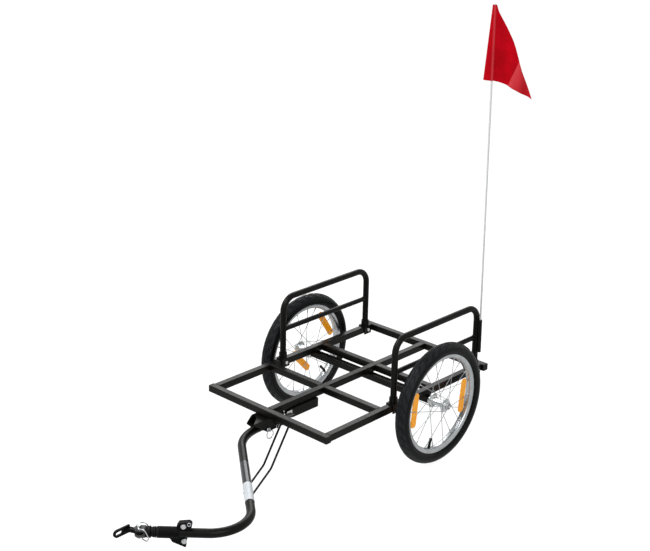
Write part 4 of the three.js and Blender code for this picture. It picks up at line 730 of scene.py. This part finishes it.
AXLE_GRIP = 40
AXLE_START = -HUB_REACH - SEAT_GAP - AXLE_GRIP
AXLE_SHAFT = [
    (ON_AXIS, 0), (3.9, 0), (5.4, 1.6), (5.9, 3), (5.9, 9), (5.5, 9.6), (5.5, 11), (5.9, 11.6)]
AXLE_HEAD = [
    (5.9, 33.2), (10, 33.4), (10.9, 34), (10.9, 37.4), (10.5, 38.9), (10, 39.25), (8.7, 39.25),
    (8.2, 38.8), (7.8, 35), (4.9, 34.7), (4.4, 34.5), (4.4, 33.9), (ON_AXIS, 33.9)]
KNURLS = 40
KNURL_CIRCLE = 10.8
KNURL_ENDS = (34.4, 37.1)
KNURL_RADIUS = 0.28
BUTTON = [
    (ON_AXIS, 36.1), (3.7, 36.1), (3.9, 36.4), (3.9, 40.7), (3.4, 41.5), (2.2, 41.78), (ON_AXIS, 41.8)]


def add_valve(side, valve_turn):
    """Rubber stem with a black cap, grooves and a collar."""
    shape = Shape().lathe(VALVE_STEM, 24, "x")
    for c, s in circle(VALVE_RIBS):
        ends = [(x, VALVE_CAP_RADIUS * c, VALVE_CAP_RADIUS * s) for x in VALVE_RIB_ENDS]
        shape.sweep(ends, VALVE_RIB_RADIUS, 6)
    place = wheel_place(side, valve_turn)
    shape.build(f"valve_stem_{side}", place, PLASTIC, f"wheel_{side}", "plastic", f"valve_{side}")


def reflector_outline(inset, height):
    """Long outline with squarish round ends, inset from the edge."""
    size = LENS_HALF - inset
    points = []
    for start, middle in ((0, LENS_END_Z), (pi, -LENS_END_Z)):
        for k in range(LENS_STEPS + 1):
            turn = start + pi * k / LENS_STEPS
            c, s = cos(turn), sin(turn)
            reach = size * (abs(c) ** ROUNDNESS + abs(s) ** ROUNDNESS) ** (-1 / ROUNDNESS)
            points.append((reach * c, height, middle + reach * s))
    return points


def add_reflector(side, index, degrees, radius, y):
    """Lens with a rolled rim and a flat prismatic face on each side, held between the spoke layers."""
    levels = [(inset, -height) for inset, height in LENS_FACE] + LENS_FACE[::-1]
    points = [point for level in levels for point in reflector_outline(*level)]
    uvs = [(x / PRISM_PITCH, z / PRISM_PITCH) for x, _, z in points]
    shape = Shape().add(points, capped(len(levels), 2 * (LENS_STEPS + 1)))
    place = wheel_place(side, radians(degrees)) @ moved((radius / 1000, y / 1000, 0))
    name = f"reflector_lens_{side}_{index}"
    shape.build(name, place, LENS, f"wheel_{side}", "reflector", f"reflector_{side}_{index}", uvs=uvs)


def add_axle(side):
    """Quick-release axle: turned head with a knurled edge, and its release button."""
    place = wheel_place(side)
    shaft = [(radius, AXLE_START + y) for radius, y in AXLE_SHAFT]
    shape = Shape().lathe(shaft + AXLE_HEAD, 64)
    for c, s in circle(KNURLS):
        shape.sweep([(KNURL_CIRCLE * c, y, KNURL_CIRCLE * s) for y in KNURL_ENDS], KNURL_RADIUS, 6)
    shape.build(f"axle_pin_{side}", place, CHROME, f"quick_axle_{side}", "chrome", f"axle_{side}")
    button = Shape().lathe(BUTTON, 40)
    button.build(f"axle_knob_{side}", place, ZINC, f"button_{side}", "spokes", f"axle_button_{side}")


for side, valve_turn in VALVE_TURNS.items():
    add_tyre(side)
    add_rim(side, valve_turn)
    add_hub(side, valve_turn)
    add_valve(side, valve_turn)
    for index, seat in enumerate(REFLECTORS[side], 1):
        add_reflector(side, index, *seat)
    add_axle(side)


# Side hoops
HOOP_FOOT = BED_TOP + 3.6
HOOP_TOP = BED_TOP + 205
HOOP_BEND = 46
BAR_HEIGHT = BED_TOP + 100
BAR_RADIUS = 8
BAR_INSET = 8.6
BAR_WELD_INSET = 9.6
BAR_WELD = (8.2, 1.1)


def add_hoop(side, y):
    corners = [(HOOP_FRONT, y, HOOP_FOOT), (HOOP_FRONT, y, HOOP_TOP)]
    corners += [(HOOP_REAR, y, HOOP_TOP), (HOOP_REAR, y, HOOP_FOOT)]
    shape = Shape().sweep(bent(corners, [HOOP_BEND, HOOP_BEND]), HOOP_RADIUS - SKIN, 32, (0, 1, 0))
    ends = [(HOOP_REAR + BAR_INSET, y, BAR_HEIGHT), (HOOP_FRONT - BAR_INSET, y, BAR_HEIGHT)]
    shape.sweep(ends, BAR_RADIUS - SKIN, 28)
    for x, seed in ((HOOP_REAR + BAR_WELD_INSET, 1), (HOOP_FRONT - BAR_WELD_INSET, 4)):
        shape.weld((x, y, BAR_HEIGHT), (1, 0, 0), *BAR_WELD, seed)
    shape.build(f"hoop_pipe_{side}", SOURCE, FRAME, "frame", "frame", f"hoop_{side}", 55)


add_hoop("left", RAIL_Y)
add_hoop("right", -RAIL_Y)


# Tow bar, its band and its film
TOW_RADIUS = 12.5
TOW_BENDS = [150, 103]
TOW_TAIL = 62
CROSS_RADIUS = 7.4
CROSS_HALF = 23.5
CROSS_WELD_OFFSET = 11.2
CROSS_WELD = (7.8, 1.2)
WRAP_SIDES = 48
WRAP_ROWS = 10

# Start, end and radius of each wrap along the bar's straight, and its thickness
BAND_WRAP = (296, 389, 12.8, 0.4)
FILM_WRAP = (174, 295, 12.62, 0.2)


def wrap(start, end, radius, thickness):
    """Thin film round the bar with a lapped seam along its underside."""
    corner, after = (Vector((x, y, TOW_Z)) for x, y in TOW_CORNERS[1:])
    run = (after - corner).normalized()
    up = Vector((0, 0, 1))
    across = run.cross(up)
    points = []
    for row in range(WRAP_ROWS + 1):
        centre = corner + run * (start + (end - start) * row / WRAP_ROWS)
        for k in range(WRAP_SIDES + 1):
            turn = 2 * pi * k / WRAP_SIDES - pi / 2
            lift = radius + thickness * (1.0 if k else 0.2)
            points.append(centre + (across * cos(turn) + up * sin(turn)) * lift)
    return Shape().add(points, grid(WRAP_ROWS + 1, WRAP_SIDES + 1, join_columns=False))


def add_tow_bar():
    tail = (GRIP[0] + TOW_TAIL * cos(COUPLER_TURN), GRIP[1] + TOW_TAIL * sin(COUPLER_TURN))
    corners = [(x, y, TOW_Z) for x, y in TOW_CORNERS + [tail]]
    shape = Shape().sweep(bent(corners, TOW_BENDS, step=4), TOW_RADIUS - SKIN, 36, (0, 0, 1))
    for x in (PIVOT_X, HITCH_X):
        ends = [(x, RECEIVER_Y + reach, TOW_Z) for reach in (-CROSS_HALF, CROSS_HALF)]
        shape.sweep(ends, CROSS_RADIUS, 28)
        for offset in (CROSS_WELD_OFFSET, -CROSS_WELD_OFFSET):
            shape.weld((x, RECEIVER_Y + offset, TOW_Z), (0, 1, 0), *CROSS_WELD, x)
    shape.build("tow_pipe", SOURCE, FRAME, "frame", "frame", "tow_bar", 55)
    wrap(*BAND_WRAP).build("blank_label_band", SOURCE, BAND, "frame", "band", "label_band")
    wrap(*FILM_WRAP).build("clear_label_film", SOURCE, FILM, "frame", "plastic")


add_tow_bar()


# Wire stand: half of its corners, from the hook in the bracket to the foot
STAND_Y = 39
STAND_WIRE_RADIUS = 3.2
STAND_CORNERS = [(408.6, -1.3, 193.5), (408.6, -15.5, 193.5), (491, -15.5, 66), (575, -15.5, 3.25)]
STAND_BENDS = [3.55, 30, 10, 10, 30, 3.55]


def add_stand():
    half = [(x, STAND_Y + y, z) for x, y, z in STAND_CORNERS]
    other = [(x, STAND_Y - y, z) for x, y, z in reversed(STAND_CORNERS)]
    shape = Shape().sweep(bent(half + other, STAND_BENDS, step=9), STAND_WIRE_RADIUS, 20)
    shape.build("stand_wire", SOURCE, STAND, "stand", "frame", "kickstand")


add_stand()


# Bolts: their sizes are shares of the thread's radius, or lengths
BOLT_RADIUS = 3
HEX_SHARE = 1.92075
HEAD_SHARE = 1.35
NUT_SHARE = 1.6
CREST_SHARE = 0.97
ROOT_SHARE = 0.86
CROWN_SHARE = 0.9
HEX_TURN = 0.16
CHAMFER = 0.5
THREAD_PITCH = 0.4
THREAD_END = 0.95
SHANK_LAP = 0.6


def hex_rings(shape, radius, levels, corner_turn, matrix, axis="y"):
    """Hexagon with blunt corners through (height, share of the radius) levels."""
    points = []
    for height, share in levels:
        for k in range(6):
            for off in (-corner_turn, corner_turn):
                c = radius * share * cos(pi / 3 * k + off)
                s = radius * share * sin(pi / 3 * k + off)
                points.append((c, height, s) if axis == "y" else (c, s, height))
    shape.add(points, capped(len(levels), 12), matrix)


def add_bolt(shape, radius, grip_start, grip_end, matrix, turns=3):
    """Hex head, shank, nut and the thread's end, along local y."""
    head_end = grip_start - SEAT_GAP
    head = head_end - radius * HEAD_SHARE
    nut = grip_end + SEAT_GAP
    nut_end = nut + radius * NUT_SHARE
    ends = (head, CROWN_SHARE, head_end, 1), (nut, 1, nut_end, CROWN_SHARE)
    for low, low_share, high, high_share in ends:
        levels = [(low, low_share), (low + CHAMFER, 1), (high - CHAMFER, 1), (high, high_share)]
        hex_rings(shape, radius * HEX_SHARE, levels, HEX_TURN, matrix)
    crest = radius * CREST_SHARE
    root = radius * ROOT_SHARE
    thread = [(ON_AXIS, nut_end - THREAD_PITCH)]
    for turn in range(-1, turns - 1):
        y = nut_end + turn * THREAD_PITCH
        thread += [(crest, y), (root, y + THREAD_PITCH / 2)]
    shape.lathe(thread + [(ON_AXIS, nut_end + THREAD_END)], 20, matrix=matrix)
    start = head_end - SHANK_LAP
    end = nut + SHANK_LAP
    shape.lathe([(ON_AXIS, start), (crest, start), (crest, end), (ON_AXIS, end)], 20, matrix=matrix)


HOOP_GRIP = 14.3


def add_hoop_bolts():
    for side, sign in (("left", 1), ("right", -1)):
        for end, x in (("front", HOOP_FRONT), ("rear", HOOP_REAR)):
            place = moved(at(x, sign * RAIL_Y, BED_MIDDLE)) @ turned(0 if sign > 0 else pi, "Z")
            shape = Shape()
            add_bolt(shape, BOLT_RADIUS, -HOOP_GRIP, HOOP_GRIP, None, turns=4)
            name = f"bolt_{end}_{side}"
            shape.build(f"foot_{name}", place, ZINC, "frame", "zinc", f"hoop_{name}", 30)


# Receiver: folded bracket under the front cross tube
RECEIVER_LOW = 162.0
RECEIVER_HIGH = 205.0
RECEIVER_HALF = 27
FAR_Y = RECEIVER_Y - RECEIVER_HALF
NEAR_Y = RECEIVER_Y + RECEIVER_HALF
RECEIVER_PLATE = 3
RECEIVER_REAR = 395

# Edges behind this x, or under this z, are chamfered forwards or upwards
SPLIT_X = 400
SPLIT_Z = 180
NEAR_CHEEK = [
    (RECEIVER_REAR, RECEIVER_LOW), (466, RECEIVER_LOW), (517, 199), (519, 201), (519, RECEIVER_HIGH),
    (RECEIVER_REAR, RECEIVER_HIGH)]
FAR_CHEEK = [
    (RECEIVER_REAR, RECEIVER_LOW), (479, RECEIVER_LOW), (498.5, 181), (500, 183.5), (498.5, 186),
    (479, RECEIVER_HIGH), (RECEIVER_REAR, RECEIVER_HIGH)]
ROOF = [
    (395.5, NEAR_Y - 2.6), (518.5, NEAR_Y - 2.6), (484, RECEIVER_Y), (474, -31),
    (470, FAR_Y + 2.6), (395.5, FAR_Y + 2.6)]


def add_cheek(shape, start, outline):
    """Upright plate with a small chamfer round its outline."""
    levels = levels_through(start, start + RECEIVER_PLATE, CHAMFER, CHAMFER)
    points = []
    for y, cut in levels:
        for x, z in outline:
            forwards = cut if x < SPLIT_X else -cut
            upwards = cut if z < SPLIT_Z else -cut
            points.append((x + forwards, y, z + upwards))
    shape.add(points, capped(len(levels), len(outline)))


def add_receiver():
    shape = Shape()
    add_cheek(shape, NEAR_Y - RECEIVER_PLATE, NEAR_CHEEK)
    add_cheek(shape, FAR_Y, FAR_CHEEK)
    heights = (RECEIVER_HIGH - RECEIVER_PLATE, RECEIVER_HIGH - 2 * SKIN)
    roof = [(x, y, z) for z in heights for x, y in ROOF]
    shape.add(roof, capped(2, len(ROOF)))
    shape.build("receiver_folded", SOURCE, FRAME, "frame", "frame", "receiver", 30)


# Pivot bolt, hitch pin, pull ring and zinc tab
PIVOT_RADIUS = 4
HEAD_Y = NEAR_Y + SEAT_GAP
HITCH_PIN = [
    (ON_AXIS, FAR_Y - 5), (2.6, FAR_Y - 5), (3.95, FAR_Y - 3), (3.95, HEAD_Y),
    (6.2, HEAD_Y), (7.0, HEAD_Y + 0.8), (7.0, HEAD_Y + 3.2), (6.2, HEAD_Y + 4),
    (3.0, HEAD_Y + 4.3), (2.4, HEAD_Y + 5.2), (ON_AXIS, HEAD_Y + 5.4)]
EYE_Y = HEAD_Y + 8.5
EYE_RADIUS = 3.5
EYE_WIRE = 1.25
PULL_RING_RADIUS = 13
PULL_RING_WIRE = 1.5
TAB_Y = 15.1
TAB_THICKNESS = 1.6
TAB_OUTLINE = [(352, 178), (380, 178), (386, 181), (388, 187), (388, 197), (386, 202.5), (352, 202.5)]
TAB_HOLE = (378, 190)
HOLE_RADIUS = 4.4
HOLE_SIDES = 28


def add_pins():
    pivot = Shape()
    matrix = moved((PIVOT_X, 0, TOW_Z)) @ turned(pi, "Z")
    add_bolt(pivot, PIVOT_RADIUS, -NEAR_Y, -FAR_Y, matrix)
    pivot.build("pivot_screw", SOURCE, CHROME, "frame", "chrome", "pivot_bolt", 30)
    pin = Shape().lathe(HITCH_PIN, 48, matrix=moved((HITCH_X, 0, TOW_Z)))
    pin.ring(EYE_RADIUS, EYE_WIRE, 40, 12, moved((HITCH_X, EYE_Y, TOW_Z)) @ turned(pi / 2, "Z"))
    pin.build("hitch_pin_turned", SOURCE, CHROME, "hitch_pin", "chrome", "hitch_pin", 35)
    hanging = moved((HITCH_X, EYE_Y, TOW_Z - PULL_RING_RADIUS))
    loop = Shape().ring(PULL_RING_RADIUS, PULL_RING_WIRE, 80, 14, hanging)
    loop.build("pull_ring_wire", SOURCE, CHROME, "pull_ring", "spokes", "pull_ring")


def add_tab():
    """Flat tab with a round hole, ahead of the rear channel."""
    x, z = TAB_HOLE
    hole = [(x + HOLE_RADIUS * c, z + HOLE_RADIUS * s) for c, s in circle(HOLE_SIDES)]
    bm = bmesh.new()
    edges = []
    for outline in (TAB_OUTLINE, hole):
        made = [bm.verts.new((x, TAB_Y, z)) for x, z in outline]
        edges += [bm.edges.new(ends) for ends in zip(made, made[1:] + made[:1])]
    bmesh.ops.triangle_fill(bm, use_beauty=True, edges=edges)
    grown = bmesh.ops.extrude_face_region(bm, geom=bm.faces[:])["geom"]
    lifted = [part for part in grown if isinstance(part, bmesh.types.BMVert)]
    bmesh.ops.translate(bm, vec=(0, TAB_THICKNESS, 0), verts=lifted)
    bm.verts.index_update()
    faces = [[vert.index for vert in face.verts] for face in bm.faces]
    tab = Shape().add([vert.co for vert in bm.verts], faces)
    bm.free()
    tab.build("zinc_tab", SOURCE, ZINC, "frame", "zinc", sharp=30)


# Coupler, in its own frame: x along the bar's end, from the grip
CLAMP_GRIP = 8.0
CLAMP_BOLTS = {"upper": (28.5, 21.5), "lower": (27.5, -21)}
WASHER = [(3, 0.05), (6.9, 0.05), (7.1, 0.25), (7.1, 0.8), (6.8, 1), (3, 1)]
EYELET_PLACE = (14, 8.1, 28)
EYELET_RADIUS = 4.4
EYELET_WIRE = 1.1

# (radius, x) points of the ribbed rubber, up to its dome
RUBBER_STUB = [
    (ON_AXIS, 62.3), (12.3, 62.3), (12.3, 90.3), (14.4, 90.3), (15.2, 91), (15.2, 96.6), (14.7, 97.3),
    (12.6, 97.8), (12.2, 98.6), (12.6, 99.4), (14.5, 99.9), (14.8, 100.4), (14.6, 102.6), (13.6, 103),
    (12.9, 103.6), (13.2, 104.2), (14.1, 104.6), (14.2, 105.2), (14.1, 107), (13.4, 107.6)]
DOME_X = 106
DOME_RADIUS = 13.55
DOME_START = 1.7
DOME_STEPS = 24

# (x, radius) points of the boot, outside and then inside
BOOT = [
    (113, 14.05), (113, 14.9), (113.4, 15.9), (114.6, 16), (115.2, 15.2), (118.2, 15), (119, 14.4),
    (119.9, 15), (122.8, 15), (123.6, 14.4), (124.5, 15), (126.5, 14.8), (126.9, 13.6),
    (126.9, ON_AXIS), (119.95, ON_AXIS), (118.9, 5), (116.6, 9)]
JAW_REAR = 126.6
JAW_BACK = 130
BACK_HALF = 5.2
JAW_HALF = 12
JAW_INNER = 5
JAW_CHAMFER = 0.8
JAW_INSET = 0.06
JAW_STEPS = 20
PIN_TOP = 12.3
YOKE_PIN = [
    (ON_AXIS, -20.3), (3.2, -20.3), (3.95, -19.5), (3.95, PIN_TOP), (5.4, PIN_TOP),
    (6.0, PIN_TOP + 0.7), (6.0, PIN_TOP + 6.9), (5.2, PIN_TOP + 7.8),
    (3.4, PIN_TOP + 8.0), (ON_AXIS, PIN_TOP + 8.0)]
YOKE_NUT_RADIUS = 7.7
YOKE_NUT_TURN = 0.12
YOKE_NUT = [(-17.3, 0.9), (-16.7, 1), (-13, 1), (-12.35, 0.92)]
BAIL_WIRE_RADIUS = 1.6
BAIL_TOP = PIN_TOP + 4
BAIL_HALF = [
    (YOKE_PIN_X, 3, BAIL_TOP), (YOKE_PIN_X, 17, BAIL_TOP), (127, 17, BAIL_TOP - 0.5), (115.5, 17, -9),
    (121, 17, -19), (135, 5, -19)]
BAIL_BENDS = [4, 12, 8, 4, 4, 4, 4, 8, 12, 4]


def add_clamp_screws():
    """Clamp bolts on broad washers, and the eyelet ahead of them."""
    for name, (x, z) in CLAMP_BOLTS.items():
        seat = moved((x, 0, z)) @ turned(pi, "Z")
        shape = Shape()
        add_bolt(shape, BOLT_RADIUS, -CLAMP_GRIP, CLAMP_GRIP, seat)
        for flip in (0, pi):
            matrix = seat @ turned(flip, "X") @ moved((0, CLAMP_GRIP, 0))
            shape.lathe(WASHER, 40, closed=True, matrix=matrix)
        shape.build(f"clamp_screw_{name}", COUPLER, CHROME, "frame", "chrome", f"clamp_bolt_{name}", 30)
    eyelet = Shape()
    x, y, z = EYELET_PLACE
    for offset in (y, -y):
        eyelet.ring(EYELET_RADIUS, EYELET_WIRE, 40, 10, moved((x, offset, z)))
    eyelet.build("clamp_eyelet", COUPLER, CHROME, "frame", "chrome")


def add_rubber_joint():
    """Ribbed rubber with a domed end, and the boot of the yoke over it."""
    widest = pi / 2 - asin(DOME_START / DOME_RADIUS)
    turns = [widest * (1 - k / DOME_STEPS) for k in range(DOME_STEPS)]
    dome = [(DOME_RADIUS * sin(turn), DOME_X + DOME_RADIUS * cos(turn)) for turn in turns]
    shape = Shape().lathe(RUBBER_STUB + dome + [(ON_AXIS, DOME_X + DOME_RADIUS)], 56, "x")
    shape.build("rubber_joint", COUPLER, RUBBER, "frame", "rubber", "flex_joint", 35)
    boot = Shape().lathe([(radius, x) for x, radius in BOOT], 56, "x")
    boot.build("yoke_boot", COUPLER, RUBBER, "yoke", "rubber", sharp=35)


def add_yoke():
    """Two jaws with round ends on a back plate, and the pin with its nut."""
    turns = [pi * k / JAW_STEPS for k in range(JAW_STEPS + 1)]
    nose = [(YOKE_PIN_X + JAW_HALF * sin(turn), -JAW_HALF * cos(turn)) for turn in turns]
    jaw = [(JAW_REAR, -JAW_HALF)] + nose + [(JAW_REAR, JAW_HALF)]
    back = [(JAW_REAR, -JAW_HALF), (JAW_BACK, -JAW_HALF), (JAW_BACK, JAW_HALF), (JAW_REAR, JAW_HALF)]
    jaws = Shape()
    plates = [(-JAW_HALF, -JAW_INNER, jaw), (JAW_INNER, JAW_HALF, jaw), (-BACK_HALF, BACK_HALF, back)]
    for low, high, outline in plates:
        middle = [sum(values) / len(outline) for values in zip(*outline)]
        levels = levels_through(low, high, JAW_CHAMFER, JAW_INSET)
        points = [(x + (middle[0] - x) * inset, y + (middle[1] - y) * inset, z)
                  for z, inset in levels for x, y in outline]
        jaws.add(points, capped(len(levels), len(outline)))
    jaws.build("yoke_jaws", COUPLER, CAST, "yoke", "cast", "yoke", 35)
    seat = moved((YOKE_PIN_X, 0, 0))
    pin = Shape().lathe(YOKE_PIN, 44, "z", matrix=seat)
    hex_rings(pin, YOKE_NUT_RADIUS, YOKE_NUT, YOKE_NUT_TURN, seat, axis="z")
    pin.build("yoke_screw", COUPLER, CHROME, "yoke", "chrome", "yoke_pin", 30)


def add_bail():
    corners = BAIL_HALF + [(x, -y, z) for x, y, z in reversed(BAIL_HALF)]
    shape = Shape().sweep(bent(corners, BAIL_BENDS, step=8), BAIL_WIRE_RADIUS, 16)
    shape.build("bail_wire", COUPLER, CHROME, "bail", "spokes", "bail")


add_hoop_bolts()
add_receiver()
add_pins()
add_tab()
add_clamp_screws()
add_rubber_joint()
add_yoke()
add_bail()


# Flag on its pole, in the mast's frame
POLE_TOP_Z = 1380
FLAG_TOP_Z = 1376
POLE_TOP = (POLE_TOP_Z - SLEEVE_Z) / cos(FLAG_LEAN)
POLE_ROD = [
    (ON_AXIS, 3.3), (2.6, 3.3), (2.95, 3.8), (2.95, POLE_TOP - 2), (2.5, POLE_TOP - 0.7),
    (1.4, POLE_TOP - 0.1), (ON_AXIS, POLE_TOP)]
SLEEVE_WALL = [
    (ON_AXIS, 0), (5.2, 0), (5.9, 0.7), (5.9, 12), (6, 12.4), (6, 14), (5.9, 14.4), (5.9, 103),
    (6, 103.6), (6, 109), (5.5, 110), (3.9, 110), (3.4, 109.4), (3.4, 3), (ON_AXIS, 3)]
FLAG_HEIGHT = 222
FLAG_HEM = (FLAG_TOP_Z - SLEEVE_Z) / cos(FLAG_LEAN) - FLAG_HEIGHT
FLAG_TURN = radians(110.4)
FLAG_REACH = 124
FLAG_DROOP = 44
FLAG_SEAM = 1.5
POCKET_RADIUS = 4.45
POCKET_TOP = 7
POCKET_BOTTOM = 26
CLOTH_HALF = 0.45
FLAG_ROWS = 56
FLAG_COLUMNS = 40
POCKET_STEPS = 24
UV_UNIT = 10

# Width of the cloth at even steps from the hem to the top, and its folds
WIDTH_SHARES = [1, 0.9, 0.81, 0.727, 0.658, 0.597, 0.533, 0.455, 0.35, 0.247, 0.147, 0.05, 0.0]
MAIN_FOLD = 7
FINE_FOLD = 1.2
TIP_CREASE = 15


def width_share(rise):
    steps = len(WIDTH_SHARES) - 1
    i = min(steps - 1, int(rise * steps))
    return WIDTH_SHARES[i] + (WIDTH_SHARES[i + 1] - WIDTH_SHARES[i]) * (rise * steps - i)


def cloth_height(rise, reach):
    return FLAG_HEIGHT * rise - FLAG_DROOP * (1 - rise) * max(0, reach) ** 1.4


def cloth_fold(rise, reach):
    """How far the folds carry the cloth out of its plane."""
    main = MAIN_FOLD * (1 - 0.8 * rise) * sin(2.6 * pi * reach) * min(1, 3 * reach)
    fine = FINE_FOLD * (1 - rise) * sin(7.5 * pi * reach + 3 * rise) * min(1, 2.5 * reach)
    crease = TIP_CREASE * max(0.0, reach - 0.4 - 0.62 * rise)
    return main + fine - crease


def cloth_row(rise):
    """One closed row of points: along the front, round the pocket and back along the other face."""
    width = width_share(rise)
    tail = FLAG_SEAM + (FLAG_REACH - POCKET_RADIUS - FLAG_SEAM) * width
    depth = POCKET_BOTTOM + (POCKET_TOP - POCKET_BOTTOM) * rise
    front = []
    for k in range(FLAG_COLUMNS + 1):
        share = 1 - k / FLAG_COLUMNS
        reach = share * width
        y = cloth_fold(rise, reach) + CLOTH_HALF
        front.append((POCKET_RADIUS + tail * share, y, cloth_height(rise, reach)))
    pocket = []
    for k in range(POCKET_STEPS + 1):
        turn = pi * k / POCKET_STEPS
        ahead = sin(turn) ** 0.8
        bulge = 1 + 0.06 * sin(6 * rise * pi + 2 * turn)
        across = POCKET_RADIUS * cos(turn) * bulge * (1 - 0.25 * ahead)
        pocket.append((-depth * ahead, across, cloth_height(rise, 0)))
    back = [(x, y - 2 * CLOTH_HALF, z) for x, y, z in reversed(front)]
    return front + pocket + back


def add_flag():
    """Pennant: a pocket round the pole, a stitched seam, and a tail in soft folds."""
    points = [point for row in range(FLAG_ROWS + 1) for point in cloth_row(row / FLAG_ROWS)]
    uvs = [(x / UV_UNIT, z / UV_UNIT) for x, _, z in points]
    count = len(points) // (FLAG_ROWS + 1)
    faces = grid(FLAG_ROWS + 1, count)
    for first in (0, FLAG_ROWS * count):
        for k in range(FLAG_COLUMNS):
            a, b = first + k, first + count - 1 - k
            faces.append([a, a + 1, b - 1, b])
    place = MAST @ moved((0, 0, FLAG_HEM / 1000)) @ turned(FLAG_TURN, "Z")
    return Shape().add(points, faces).build("flag_cloth", place, CLOTH, "flag", "flag", "flag", 80, uvs)


def add_mast():
    """Fibreglass rod with a rounded tip, in a moulded sleeve with a lip and a rib."""
    rod = Shape().lathe(POLE_ROD, 32, "z")
    pole = rod.build("fibreglass_rod", MAST, POLE, "flag", "pole", "flag_pole")
    sleeve = Shape().lathe(SLEEVE_WALL, 40, "z")
    sleeve.build("mast_sleeve", MAST, PLASTIC, "frame", "plastic", "flag_sleeve")
    return pole


pole = add_mast()
flag = add_flag()


# Finishes of the carried-over solids
slot_names = {part["node"]: part["material_slot"] for part in frame["record"]["subparts"]}
OWN_FINISH = {"coupler_clamp": CLAMP, "axle_plate": CLAMP}
for name, obj in frame["nodes"].items():
    finish = OWN_FINISH.get(name) or FINISH_OF_SLOT[slot_names[name]]
    if not obj.material_slots:
        obj.data.materials.append(finish)
    for holder in obj.material_slots:
        holder.material = finish
